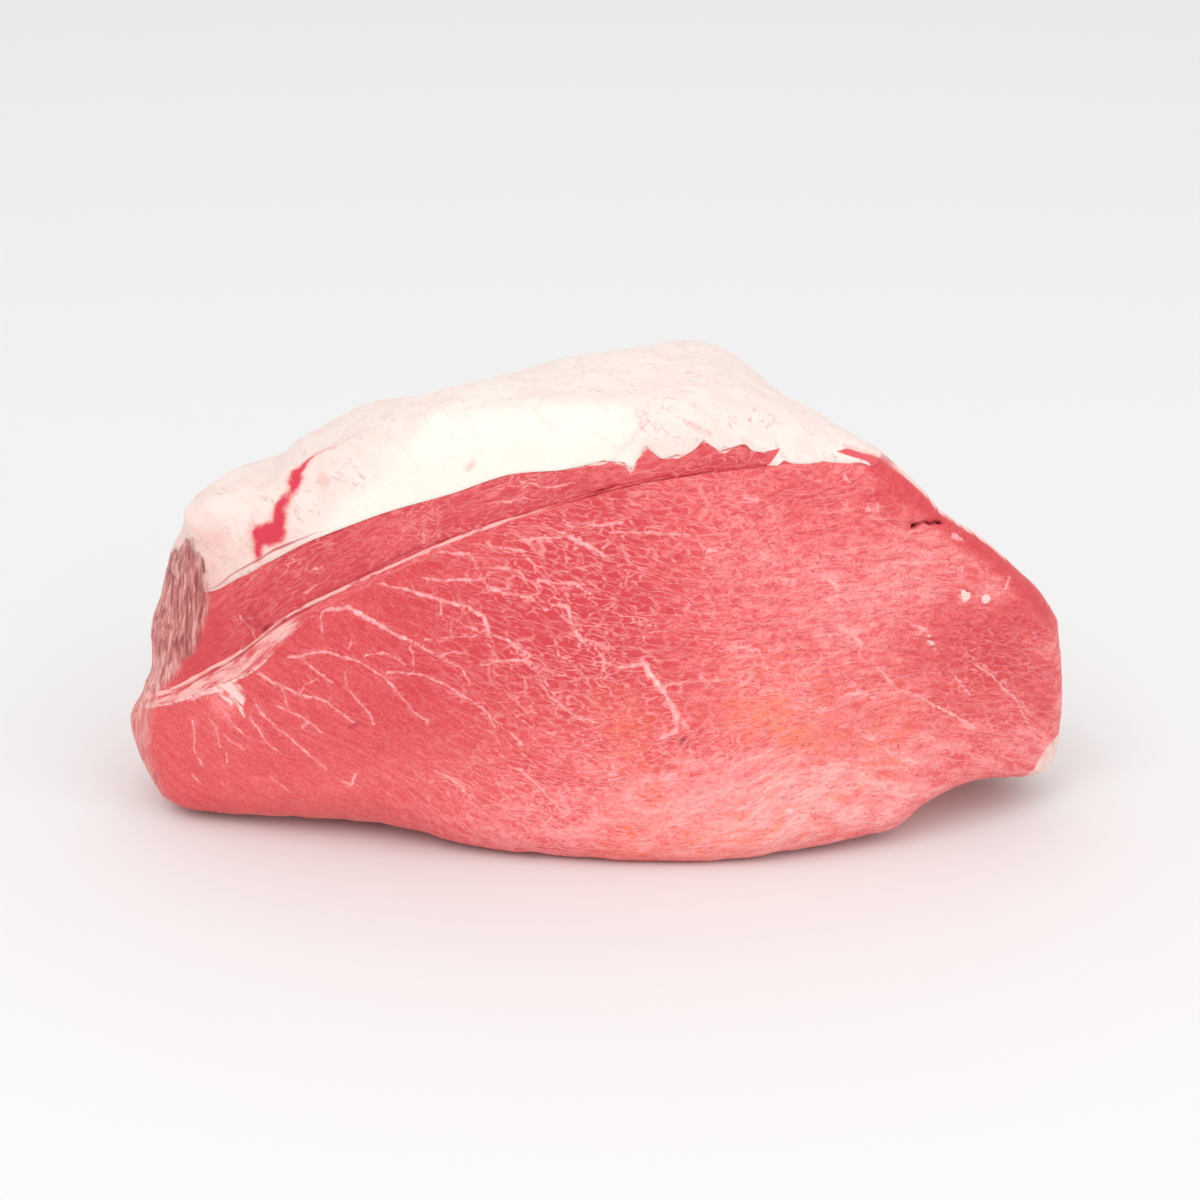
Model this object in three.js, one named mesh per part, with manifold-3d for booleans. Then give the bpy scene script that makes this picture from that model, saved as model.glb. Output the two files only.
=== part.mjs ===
// Raw beef topside joint: a large lean muscle, a thinner cap muscle over it, the connective seam
// between the two, a thick fat cap on top and a small fat corner low on the right.
// Millimetres, +Z up. The cut face looks towards -Y, the joint rests on Z = 0.
// The joint is drawn once as a flat section (X across, Z up, as seen square on to the cut face).
// Every layer of that section is then carried back through the depth by one shared mapping,
// so the layers stay in contact and show again, in the same order, on the rear cut face.
import * as THREE from "three";
import Module from "manifold-3d";

// ---- overall form ----
const FRONT_Y = -58.2; // cut face at its most forward point
const FACE_BOW_LEFT = 0.0014; // how fast the cut face turns back to the left, per mm
const FACE_BOW_RIGHT = 0.0042; // and to the right
const FACE_BOW_X = 27; // where the cut face is most forward
const FACE_LEAN = 0.0011; // lean of the cut face away from the viewer, per mm of height squared
const REAR_LEAN = 0.0012; // extra lean of the rear face, so the joint is thinner at the top
const GAP = 0.36; // clearance between neighbouring layers
const FLARE = 18; // outward swell of the left side behind the cut face
const NARROW_LEFT = 12; // inward turn of the left side at the rear
const NARROW_RIGHT = 27; // inward turn of the right side at the rear
const CENTRE_X = 0.3; // moves the joint so that its box is centred on the origin
const LIFT_DEPTH = 0.3; // share of the depth over which the lower front edge lifts off the table
const PRESSED = -0.4; // drawn depth below the table of what the joint's weight has pressed flat
const RIPPLE = 0.9; // height of the gentle waves over the upper and side surfaces

// Depth of the joint (mm) along X.
const DEPTH = [
  [-130, 58], [-112, 78], [-85, 96], [-60, 106], [0, 115], [35, 115], [65, 101], [95, 80], [131, 58],
];
// Share of its height that the joint has lost at the rear, along X.
const SAG = [
  [-130, 0.34], [-104, 0.36], [-84, 0.28], [-70, 0.25], [-45, 0.335], [-20, 0.27], [5, 0.195],
  [25, 0.155], [38, 0.17], [52, 0.31], [64, 0.39], [78, 0.27], [100, 0.36], [131, 0.36],
];
// How far the lower front edge stands off the table (mm) along X.
const LIFT = [
  [-130, 0], [-118, 0.5], [-104, 3.5], [-85, 8.6], [-66, 11.2], [-52, 8.6], [-40, 4.8], [-25, 2],
  [-8, 0.8], [15, 0], [40, 0.8], [56, 3.4], [70, 4.0], [82, 2], [92, 2], [110, 1.5], [131, 0],
];
// Thickness of the connective seam (mm) along X, thickest near the left end.
const SEAM_THICKNESS = [
  [-125, 2.2], [-112, 4.2], [-98, 6.0], [-88, 5.0], [-75, 3.4], [-55, 2.4], [-30, 1.8], [0, 1.4], [46, 1.2],
];

// ---- section lines, each from left to right or from bottom to top ----
const LINES = {
  underside: [
    [-123, 4.6], [-117, 1.6], [-104, 0.6], [-80, PRESSED], [-45, PRESSED], [-10, PRESSED],
    [25, PRESSED], [60, PRESSED], [74, 1.0], [84, 3.6], [90, 8.6], [97, 11.4], [104.5, 12.4],
    [112, 11.4], [118.6, 9.4],
  ],
  mainLeft: [[-123, 4.6], [-128, 13.5], [-130.8, 21.5], [-131, 28], [-127.6, 33]],
  seamLeft: [[-127.6, 33], [-126.3, 34.5], [-125, 36]],
  capLeft: [[-125, 36], [-119.5, 40.5], [-112.8, 48], [-108.3, 57], [-106, 69.5]],
  fatLeft: [[-106, 69.5], [-107.6, 78], [-110.6, 84.5], [-112, 88]],
  seamLine: [
    [-125, 36], [-116, 41.2], [-108, 47], [-98, 54], [-90, 61.5], [-80, 68.8], [-70, 74.6],
    [-58, 81.2], [-41, 90], [-27, 95.9], [-12, 101], [4, 106.1], [17, 108.9], [27, 110.6],
    [38, 111.6], [45, 111.9],
  ],
  fatUnder: [
    [-106, 69.5], [-96.5, 75], [-88, 80.5], [-80, 85.7], [-70, 90.8], [-56, 97], [-39, 102.7],
    [-24, 108.5], [-10, 110.6], [10, 113], [30, 115.2], [39, 114.6], [45, 113.3],
  ],
  fatTail: [[45.6, 112.6], [53, 111.6], [60, 111.2], [68, 110.4], [74, 108.9]],
  fatTop: [
    [-112, 88], [-105, 94], [-97, 97], [-90, 98.6], [-85, 102.6], [-77, 106.5], [-66, 112.5],
    [-53, 118], [-40, 121.5], [-26, 124], [-8, 125.8], [10, 127.3], [27, 127.3], [42, 122.8],
    [58, 117.5], [68, 113.6], [75, 110],
  ],
  rim: [[74, 108.9], [81, 105.9], [88, 99.6], [92.5, 94.1], [95.2, 91.8]],
  shoulder: [[95.2, 91.8], [99, 88.6], [107, 82], [115.8, 72.4], [123.2, 63.4], [128.6, 54]],
  mainRight: [[130.6, 20.6], [131, 27], [130.4, 40], [128.6, 54]],
  cornerLine: [[118.6, 9.4], [121.6, 12.8], [124.6, 17.4], [130.6, 20.6]],
  cornerOuter: [[118.6, 9.4], [123.4, 8.6], [127, 9.4], [129.3, 13], [130.6, 20.6]],
};

// Blunt ends of the fat corner, each from its outer to its inner line.
const CORNER_ENDS = {
  low: [[119.2, 9.3], [119.7, 10.5]],
  high: [[130.45, 19.4], [129.4, 19.9]],
};

// ---- helpers ----
const mix = (a, b, t) => a + (b - a) * t;

// 0 below lo, 1 above hi, smooth between.
function ease(x, lo, hi) {
  const t = Math.min(Math.max((x - lo) / (hi - lo), 0), 1);
  return t * t * (3 - 2 * t);
}

// Value at x of a table of [x, value], joined by cubic pieces that never overshoot the table.
function along(table, x) {
  const last = table.length - 1;
  const at = Math.min(Math.max(x, table[0][0]), table[last][0]);
  const slope = (i) => (table[i + 1][1] - table[i][1]) / (table[i + 1][0] - table[i][0]);
  const tangent = (i) => {
    if (i === 0) return slope(0);
    if (i === last) return slope(last - 1);
    const [a, b] = [slope(i - 1), slope(i)];
    return a * b > 0 ? (2 * a * b) / (a + b) : 0;
  };
  let i = 0;
  while (i < last - 1 && at >= table[i + 1][0]) i++;
  const h = table[i + 1][0] - table[i][0];
  const t = (at - table[i][0]) / h;
  return (
    table[i][1] * (1 + 2 * t) * (1 - t) ** 2 +
    h * tangent(i) * t * (1 - t) ** 2 +
    table[i + 1][1] * t * t * (3 - 2 * t) +
    h * tangent(i + 1) * t * t * (t - 1)
  );
}

// Points of a section line at the given shares of its length.
function sample(points, shares) {
  const line = new THREE.SplineCurve(points.map(([x, z]) => new THREE.Vector2(x, z)));
  return shares.map((s) => line.getPointAt(s));
}

const even = (n) => Array.from({ length: n + 1 }, (_, i) => i / n);

// Shares of a length, closer together near its start.
const crowd = (n) => even(n).map((t) => mix(t, t * t, 0.75));

// ---- mapping of the section through the depth ----
const outline = [
  ...sample(LINES.mainLeft, even(12)),
  ...sample(LINES.seamLeft, even(2)).slice(1),
  ...sample(LINES.capLeft, even(14)).slice(1),
  ...sample(LINES.fatLeft, even(8)).slice(1),
  ...sample(LINES.fatTop, even(60)).slice(1, -1),
  ...sample(LINES.rim, even(12)),
  ...sample(LINES.shoulder, even(20)).slice(1),
  ...sample(LINES.mainRight, even(12)).reverse().slice(1),
  ...sample(LINES.cornerOuter, even(14)).reverse().slice(1),
  ...sample(LINES.underside, even(70)).reverse().slice(1, -1),
];

// Distance in the section from a point to the outline of the whole joint.
function distanceToOutline(x, z) {
  let best = Infinity;
  outline.forEach((a, i) => {
    const b = outline[(i + 1) % outline.length];
    const [dx, dz] = [b.x - a.x, b.y - a.y];
    const span = dx * dx + dz * dz;
    const t = Math.min(Math.max(((x - a.x) * dx + (z - a.y) * dz) / span, 0), 1);
    best = Math.min(best, Math.hypot(x - a.x - t * dx, z - a.y - t * dz));
  });
  return best;
}

// Radius of the rounded edge between the cut faces and the sides: softest in the middle, tighter
// at the right end and crisp at the upper left where the fat and the dried cap muscle were trimmed.
function edgeRadius(x, z) {
  const general = 9 - 3.5 * ease(x, 60, 112);
  const trimmed = 3.5 + 6 * (1 - ease(z, 18, 40));
  return mix(general, trimmed, ease(-x, 88, 108));
}

// Section point (x, z) at share c of the depth, as a point of the joint.
function place(x, z, c) {
  const radius = edgeRadius(x, z);
  const inEdge = Math.max(radius - distanceToOutline(x, z), 0);
  const rounding = radius - Math.sqrt(radius * radius - inEdge * inEdge);
  const depth = along(DEPTH, x);
  const fromBow = x - FACE_BOW_X;
  const bow = (fromBow < 0 ? FACE_BOW_LEFT : FACE_BOW_RIGHT) * fromBow * fromBow;
  const front = FRONT_Y + bow + FACE_LEAN * z * z;
  const y = mix(front + rounding, front + depth - REAR_LEAN * z * z - rounding, c);
  const back = Math.max((y - front) / depth, 0);

  const leftSide = ease(-x, 70, 118);
  const swell = FLARE * ease(z, 30, 56) * (1 - ease(z, 67, 93)) * 6.75 * back * (1 - back) ** 2;
  const right = NARROW_RIGHT * back ** 1.6 * ease(x, 40, 130);
  const acrossX = CENTRE_X + x - leftSide * (swell - NARROW_LEFT * back * back) - right;

  const fall = 2.2 - 1.05 * ease(x, 55, 88);
  const kept = 1 - along(SAG, x) * back ** fall;
  const lift = along(LIFT, x) * Math.max(1 - back / LIFT_DEPTH, 0) ** 2 * (1 - ease(z, 0, 40));
  const wave = Math.sin(x / 17 + 1.3) * Math.sin(y / 15 + 0.4) + 0.5 * Math.sin(x / 9.3 + y / 12);
  const ripple = RIPPLE * wave * ease(z, 30, 100) * 4 * back * (1 - back);
  return new THREE.Vector3(acrossX, y, Math.max(z * kept + lift + ripple, 0));
}

// ---- solids ----
const DEPTH_STEPS = [0, 0.11, 0.24, 0.38, 0.52, 0.66, 0.8, 0.91, 1];

// Moves every point of a closed anticlockwise section loop inwards by half the clearance.
function inset(loop) {
  return loop.map((p, i) => {
    const before = loop[(i + loop.length - 1) % loop.length];
    const after = loop[(i + 1) % loop.length];
    const run = new THREE.Vector2().subVectors(after, before).normalize();
    return new THREE.Vector2(p.x - (run.y * GAP) / 2, p.y + (run.x * GAP) / 2);
  });
}

// Shares of the length of a line at each of its points.
function shares(line) {
  const lengths = [0];
  for (let i = 1; i < line.length; i++) lengths.push(lengths[i - 1] + line[i].distanceTo(line[i - 1]));
  return lengths.map((s) => s / lengths[lengths.length - 1]);
}

// Closed solid over the section patch between four lines. Bottom and top run left to right,
// left and right run bottom to top; opposite lines have the same number of points.
function layer(bottom, right, top, left) {
  const [columns, rows] = [bottom.length - 1, left.length - 1];
  const loop = inset([
    ...bottom,
    ...right.slice(1),
    ...top.slice(0, -1).reverse(),
    ...left.slice(1, -1).reverse(),
  ]);
  const round = loop.length;
  const onBottom = (i) => loop[i];
  const onRight = (j) => loop[columns + j];
  const onTop = (i) => loop[columns + rows + (columns - i)];
  const onLeft = (j) => loop[(2 * columns + rows + (rows - j)) % round];
  const [us, vs] = [bottom, left].map((line, k) => {
    const [one, other] = [shares(line), shares(k === 0 ? top : right)];
    return one.map((s, i) => (s + other[i]) / 2);
  });

  // Coons patch: blends the four lines into a grid of section points.
  const grid = us.map((u, i) =>
    vs.map((v, j) => {
      const blend = (k) =>
        mix(onBottom(i)[k], onTop(i)[k], v) +
        mix(onLeft(j)[k], onRight(j)[k], u) -
        mix(mix(onBottom(0)[k], onBottom(columns)[k], u), mix(onTop(0)[k], onTop(columns)[k], u), v);
      return new THREE.Vector2(blend("x"), blend("y"));
    }),
  );

  const positions = [];
  const add = (p, c) => positions.push(...place(p.x, p.y, c).toArray()) / 3 - 1;
  const walls = DEPTH_STEPS.map((c) => loop.map((p) => add(p, c)));
  const inside = (list) =>
    grid.map((column, i) =>
      column.map((p, j) => {
        if (j === 0) return list[i];
        if (i === columns) return list[columns + j];
        if (j === rows) return list[columns + rows + (columns - i)];
        if (i === 0) return list[2 * columns + rows + (rows - j)];
        return add(p, list === walls[0] ? 0 : 1);
      }),
    );
  const faces = [];
  const quad = (a, b, c, d) => faces.push(a, b, c, a, c, d);
  [walls[0], walls[walls.length - 1]].forEach((list, rear) => {
    const net = inside(list);
    for (let i = 0; i < columns; i++)
      for (let j = 0; j < rows; j++) {
        const corners = [net[i][j], net[i + 1][j], net[i + 1][j + 1], net[i][j + 1]];
        quad(...(rear ? corners.reverse() : corners));
      }
  });
  // Each wall facet is split along the diagonal that starts nearer the left at the front,
  // so the facing walls of two neighbours are split alike.
  for (let s = 1; s < walls.length; s++)
    for (let i = 0; i < round; i++) {
      const k = (i + 1) % round;
      const [near, far] = [walls[s - 1], walls[s]];
      if (loop[i].x < loop[k].x) quad(near[i], far[i], far[k], near[k]);
      else quad(near[k], near[i], far[i], far[k]);
    }
  const geometry = new THREE.BufferGeometry();
  geometry.setAttribute("position", new THREE.Float32BufferAttribute(positions, 3));
  geometry.setIndex(faces);
  return geometry;
}

const joinLines = (...lines) => lines.flatMap((line, i) => (i ? line.slice(1) : line));

// Lines shared by neighbours are sampled once, so both sides of a contact have the same facets.
const LAYER_COLUMNS = 28;
const capShares = crowd(LAYER_COLUMNS);
const seamUpper = sample(LINES.seamLine, capShares);
const seamLower = seamUpper.map((p, i) => {
  const before = seamUpper[Math.max(i - 1, 0)];
  const after = seamUpper[Math.min(i + 1, seamUpper.length - 1)];
  const run = new THREE.Vector2().subVectors(after, before).normalize();
  const thick = along(SEAM_THICKNESS, p.x);
  return new THREE.Vector2(p.x + run.y * thick, p.y - run.x * thick);
});
const seamStart = new THREE.Vector2(...LINES.mainLeft[LINES.mainLeft.length - 1]);
seamLower[0].copy(seamStart);
const fatUnder = sample(LINES.fatUnder, capShares);
const fatTail = sample(LINES.fatTail, even(5));
const rim = sample(LINES.rim, even(4));
const shoulder = sample(LINES.shoulder, even(6));

function mainMuscle() {
  const top = joinLines([...seamLower, fatTail[0]], fatTail, rim, shoulder);
  const rows = [0, 0.12, 0.24, 0.36, 0.47, 0.57, 0.66, 0.75, 0.84, 0.92, 1];
  const right = sample(LINES.mainRight, rows);
  const left = sample(LINES.mainLeft, rows);
  const corner = sample(LINES.cornerLine, even(4));
  const under = sample(LINES.underside, crowd(top.length - corner.length));
  return layer(joinLines(under, corner), right, top, left);
}

function capMuscle() {
  const left = sample(LINES.capLeft, even(4));
  const right = [0, 0.25, 0.5, 0.75, 1].map((t) =>
    new THREE.Vector2().lerpVectors(seamUpper[LAYER_COLUMNS], fatUnder[LAYER_COLUMNS], t),
  );
  return layer(seamUpper, right, fatUnder, left);
}

function connectiveSeam() {
  return layer(
    seamLower,
    [seamLower[LAYER_COLUMNS], seamUpper[LAYER_COLUMNS]],
    seamUpper,
    [seamLower[0], seamUpper[0]],
  );
}

function fatCap() {
  const under = joinLines([...fatUnder, fatTail[0]], fatTail);
  const top = sample(LINES.fatTop, crowd(under.length - 1));
  const steps = [0, 0.3, 0.58, 0.8, 0.93, 1];
  const left = sample(LINES.fatLeft, steps);
  const [low, high] = [under[under.length - 1], top[top.length - 1]];
  const right = steps.map((t) => new THREE.Vector2().lerpVectors(low, high, t));
  return layer(under, right, top, left);
}

function fatCorner() {
  const blunt = ([[x0, z0], [x1, z1]]) =>
    even(3).map((t) => new THREE.Vector2(mix(x0, x1, t), mix(z0, z1, t)));
  const left = blunt(CORNER_ENDS.low);
  const right = blunt(CORNER_ENDS.high);
  const bottom = [left[0], ...sample(LINES.cornerOuter, [0.15, 0.3, 0.44, 0.57, 0.7, 0.83]), right[0]];
  const top = [left[3], ...sample(LINES.cornerLine, [0.18, 0.32, 0.46, 0.6, 0.74, 0.87]), right[3]];
  return layer(bottom, right, top, left);
}

// The short dark slit between the two lobes of the main muscle, high on the right.
const SLIT = {
  tip: [77, 92.6],
  mouth: [101, 91.6],
  opening: 2.2,
  nearY: -75,
  tipDepthY: -28,
  mouthDepthY: -9,
};

async function cutSlit(geometry) {
  const wasm = await Module();
  wasm.setup();
  const body = new wasm.Manifold(
    new wasm.Mesh({
      numProp: 3,
      vertProperties: new Float32Array(geometry.attributes.position.array),
      triVerts: new Uint32Array(geometry.index.array),
    }),
  );
  const [tipX, tipZ] = SLIT.tip;
  const [mouthX, mouthZ] = SLIT.mouth;
  const half = SLIT.opening / 2;
  const wedge = wasm.Manifold.hull([
    [tipX, SLIT.nearY, tipZ],
    [tipX, SLIT.tipDepthY, tipZ],
    [mouthX, SLIT.nearY, mouthZ - half],
    [mouthX, SLIT.nearY, mouthZ + half],
    [mouthX, SLIT.mouthDepthY, mouthZ],
  ]);
  const mesh = body.subtract(wedge).getMesh();
  const cut = new THREE.BufferGeometry();
  cut.setAttribute("position", new THREE.Float32BufferAttribute(mesh.vertProperties, 3));
  cut.setIndex(Array.from(mesh.triVerts));
  return cut;
}

// ---- the joint ----
const joint = new THREE.Group();

function addPiece(name, geometry, color, roughness) {
  const material = new THREE.MeshStandardMaterial({ color, roughness, metalness: 0 });
  const piece = new THREE.Mesh(geometry, material);
  piece.name = name;
  geometry.computeVertexNormals();
  joint.add(piece);
}

addPiece("main_muscle", await cutSlit(mainMuscle()), 0xdf5b61, 0.5);
addPiece("cap_muscle", capMuscle(), 0xd24f58, 0.5);
addPiece("connective_seam", connectiveSeam(), 0xe79a98, 0.45);
addPiece("fat_cap", fatCap(), 0xfbf1e8, 0.5);
addPiece("fat_corner", fatCorner(), 0xf6d9d2, 0.5);

export default joint;
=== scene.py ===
# Raw beef topside joint: lean muscle, cap muscle, connective seam, fat cap and a small fat corner.
# Every piece is the same flat section (x across, z up) carried back through the depth of the joint.
# Shapes are worked out in millimetres and put into the meshes in metres.
import bpy
import numpy as np
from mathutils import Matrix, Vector


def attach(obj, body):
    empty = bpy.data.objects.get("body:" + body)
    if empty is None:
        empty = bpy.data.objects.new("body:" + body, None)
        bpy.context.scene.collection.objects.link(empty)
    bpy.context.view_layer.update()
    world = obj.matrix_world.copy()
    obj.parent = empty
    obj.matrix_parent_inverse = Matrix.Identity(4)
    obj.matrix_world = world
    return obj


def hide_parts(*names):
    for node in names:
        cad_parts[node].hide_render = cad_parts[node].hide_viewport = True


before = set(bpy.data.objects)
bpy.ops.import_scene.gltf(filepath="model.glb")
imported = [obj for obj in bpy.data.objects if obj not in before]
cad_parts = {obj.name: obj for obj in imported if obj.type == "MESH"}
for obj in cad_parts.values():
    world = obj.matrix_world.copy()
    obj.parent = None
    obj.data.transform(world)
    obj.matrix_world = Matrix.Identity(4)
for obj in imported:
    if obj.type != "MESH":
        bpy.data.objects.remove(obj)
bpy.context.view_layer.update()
mm = 0.001

# the form of the whole joint
form = dict(
    frontY=-58.2,            # most forward point of the cut face
    faceBow=(0.0014, 0.0042),  # how fast the face turns back to the left and to the right
    bowX=27.0,               # where the face is most forward
    faceLean=0.0011,         # lean of the face, per mm of height squared
    rearLean=0.0012,         # extra lean of the rear face
    flare=18.0,              # swell of the left side behind the face
    narrow=(12.0, 27.0),     # inward turn of the left and right sides at the rear
    centreX=0.3,             # moves the joint so that its box is centred on the origin
    liftDepth=0.3,           # share of the depth over which the lower front edge is off the table
    ripple=0.9,              # gentle waves over the upper surface
    depth=[(-130, 58), (-112, 78), (-85, 96), (-60, 106), (0, 115), (35, 115), (65, 101), (95, 80), (131, 58)],
    sag=[(-130, 0.34), (-104, 0.36), (-84, 0.28), (-70, 0.25), (-45, 0.335), (-20, 0.27), (5, 0.195),
         (25, 0.155), (38, 0.17), (52, 0.31), (64, 0.39), (78, 0.27), (100, 0.36), (131, 0.36)],
    lift=[(-130, 0), (-118, 0.5), (-104, 3.5), (-85, 8.6), (-66, 11.2), (-52, 8.6), (-40, 4.8), (-25, 2),
          (-8, 0.8), (15, 0), (40, 0.8), (56, 3.4), (70, 4.0), (82, 2), (92, 2), (110, 1.5), (131, 0)],
    seamThickness=[(-125, 2.2), (-112, 4.2), (-98, 6.0), (-88, 5.0), (-75, 3.2), (-55, 2.2), (-30, 1.7),
                   (0, 1.2), (46, 0.7)],
)

# lines of the section, left to right or bottom to top
lines = dict(
    underside=[(-123, 4.6), (-117, 1.6), (-104, 0.6), (-80, -0.4), (-45, -0.4), (-10, -0.4), (25, -0.4),
               (60, -0.4), (74, 1.0), (84, 3.6), (90, 8.6), (97, 11.4), (104.5, 12.4), (112, 11.4),
               (118.6, 9.4)],
    mainLeft=[(-123, 4.6), (-128, 13.5), (-130.8, 21.5), (-131, 28), (-127.6, 33)],
    seamLeft=[(-127.6, 33), (-126.3, 34.5), (-125, 36)],
    capLeft=[(-125, 36), (-119.5, 40.5), (-112.8, 48), (-108.3, 57), (-106, 69.5)],
    fatLeft=[(-106, 69.5), (-107.6, 78), (-110.6, 84.5), (-112, 88)],
    seam=[(-125, 36), (-116, 41.2), (-108, 47), (-98, 54), (-90, 61.5), (-80, 68.8), (-70, 74.6), (-58, 81.2),
          (-41, 90), (-27, 95.9), (-12, 101), (4, 106.1), (17, 108.9), (27, 110.6), (37, 111.4), (44.2, 111.8)],
    fatUnder=[(-106, 69.5), (-104.5, 69.3), (-96.3, 75), (-88.1, 80.4), (-80.9, 85), (-73.9, 88.7),
              (-56.4, 96.6), (-39.2, 102.6), (-24, 108.4), (-9.6, 110.3), (0.4, 112.6), (4.2, 112.8),
              (6.7, 112.3), (8.7, 111.1), (10.2, 113.2), (12.4, 116.9), (14.8, 115.0), (17, 113.7),
              (20, 114.5), (23.8, 115), (26.2, 116.9), (27.7, 118.3), (29.6, 117.2), (32.4, 115.7),
              (35.2, 116.4), (38.6, 117), (40.8, 115.5), (44.4, 114.9)],
    capRight=[(44.2, 111.8), (44.4, 114.9)],
    fatTail=[(44.2, 111.8), (47, 111.4), (50, 111.8), (54.4, 111.1), (59.5, 110.8), (64.2, 110.2), (68, 109.5),
             (71, 108.6), (73.6, 108)],
    fatRight=[(73.6, 108), (75.6, 109.5)],
    fatTop=[(-112, 88), (-105, 94), (-97, 97.0), (-90, 98.6), (-85, 102.6), (-77, 106.5), (-66, 112.5),
            (-53, 118), (-40, 121.5), (-26, 124), (-8, 125.8), (10, 127.3), (27, 127.3), (42, 122.8),
            (58, 117.5), (68, 113.6), (75.6, 109.5)],
    rim=[(75.6, 109.5), (81, 105.9), (88, 99.6), (92.5, 94.1), (95.2, 91.8)],
    shoulder=[(95.2, 91.8), (99, 88.6), (107, 82), (115.8, 72.4), (123.2, 63.4), (128.6, 54)],
    mainRight=[(130.6, 20.6), (131.0, 27), (130.4, 40), (128.6, 54)],
    cornerInner=[(118.6, 9.4), (121.6, 12.8), (124.6, 17.4), (130.6, 20.6)],
    cornerOuter=[(119.2, 9.2), (123.4, 8.6), (127, 9.4), (129.3, 13), (130.5, 19.4)],
)

# the photograph's camera, for a frame of 1200 x 1200
shot = dict(elevation=22.0, lens=110.0, sensor=36.0, pixels=1200, distance=990.0, target=(0.7, -36.2, 70.5))


# small tools
def mix(a, b, t):
    # straight blend: a where t is 0, b where t is 1
    return a + (b - a) * t


def ease(x, low, high):
    # 0 below low, 1 above high, smooth between
    t = np.clip((x - low) / (high - low), 0, 1)
    return t * t * (3 - 2 * t)


def along(table, x):
    # value of an [x, value] table, joined by cubic pieces that never overshoot it
    knots, values = np.array(table, float).T
    steps = np.diff(values) / np.diff(knots)
    product = steps[:-1] * steps[1:]
    inner = np.where(product > 0, 2 * product / (steps[:-1] + steps[1:] + 1e-12), 0)
    slopes = np.concatenate([steps[:1], inner, steps[-1:]])
    x = np.clip(x, knots[0], knots[-1])
    i = np.clip(np.searchsorted(knots, x, side="right") - 1, 0, len(knots) - 2)
    h = knots[i + 1] - knots[i]
    t = (x - knots[i]) / h
    return (values[i] * (1 + 2 * t) * (1 - t) ** 2 + h * slopes[i] * t * (1 - t) ** 2
            + values[i + 1] * t * t * (3 - 2 * t) + h * slopes[i + 1] * t * t * (t - 1))


def drawn(points, fineness=24):
    # smooth curve through the points, each piece the usual cubic with tangents from its neighbours
    p = np.array(points, float)
    last = len(p) - 1
    t = np.linspace(0, last, last * fineness + 1)
    i = np.minimum(t.astype(int), last - 1)
    w = (t - i)[:, None]
    before, after = p[np.maximum(i - 1, 0)], p[np.minimum(i + 2, last)]
    start, end = (p[i + 1] - before) / 2, (after - p[i]) / 2
    return ((2 * p[i] - 2 * p[i + 1] + start + end) * w ** 3
            + (3 * p[i + 1] - 3 * p[i] - 2 * start - end) * w ** 2 + start * w + p[i])


def chain(*curves):
    # several curves end to end as one
    return np.concatenate([curves[0]] + [c[1:] for c in curves[1:]])


def sampled(curve, shares):
    # points at shares of the curve's length
    run = np.concatenate([[0], np.cumsum(np.hypot(*np.diff(curve, axis=0).T))])
    return np.stack([np.interp(shares * run[-1], run, curve[:, k]) for k in (0, 1)], -1)


def crowded(count, amount=0.45):
    # shares from 0 to 1 that lie closer together at both ends
    t = np.linspace(0, 1, count + 1)
    return t - amount * np.sin(2 * np.pi * t) / (2 * np.pi)


def toLines(x, z, curve):
    # distance from each point to a drawn curve, taken piece by piece
    best = np.full(x.shape, 1e9)
    for a, b in zip(curve[:-1], curve[1:]):
        dx, dz = b - a
        t = np.clip(((x - a[0]) * dx + (z - a[1]) * dz) / (dx * dx + dz * dz + 1e-12), 0, 1)
        best = np.minimum(best, np.hypot(x - a[0] - t * dx, z - a[1] - t * dz))
    return best


def hashed(*whole, seed=0):
    # a repeatable number from 0 to 1 for each lattice corner
    h = np.uint64(seed * 7919 + 12345)
    for k, w in enumerate(whole):
        h = (h ^ w.astype(np.int64).astype(np.uint64)) * np.uint64(0x9E3779B97F4A7C15 + 2 * k)
        h = h ^ (h >> np.uint64(29))
    return ((h >> np.uint64(11)) & np.uint64(0xFFFFFFFF)) / 4294967295.0


def noise(points, size, seed, octaves=2):
    # smooth noise from -1 to 1 with features about `size` mm wide, halved in size and height each octave
    total, weight = 0, 0
    for octave in range(octaves):
        q = points / (size / 2 ** octave) + 37.3 * octave
        base = np.floor(q)
        f = q - base
        u = f * f * (3 - 2 * f)
        value = 0
        for corner in np.ndindex(*(2,) * points.shape[-1]):
            side = np.prod([u[..., k] if c else 1 - u[..., k] for k, c in enumerate(corner)], axis=0)
            value = value + side * hashed(*[base[..., k] + c for k, c in enumerate(corner)], seed=seed + octave)
        total = total + (2 * value - 1) / 2 ** octave
        weight += 1 / 2 ** octave
    return total / weight


# the mapping shared by every piece
outline = chain(drawn(lines["mainLeft"]), drawn(lines["seamLeft"]), drawn(lines["capLeft"]),
                drawn(lines["fatLeft"]), drawn(lines["fatTop"]), drawn(lines["rim"]),
                drawn(lines["shoulder"]), drawn(lines["mainRight"])[::-1], drawn(lines["cornerOuter"])[::-1],
                drawn(lines["underside"])[::-1])[::3]
outline = np.concatenate([outline, outline[:1]])


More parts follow.
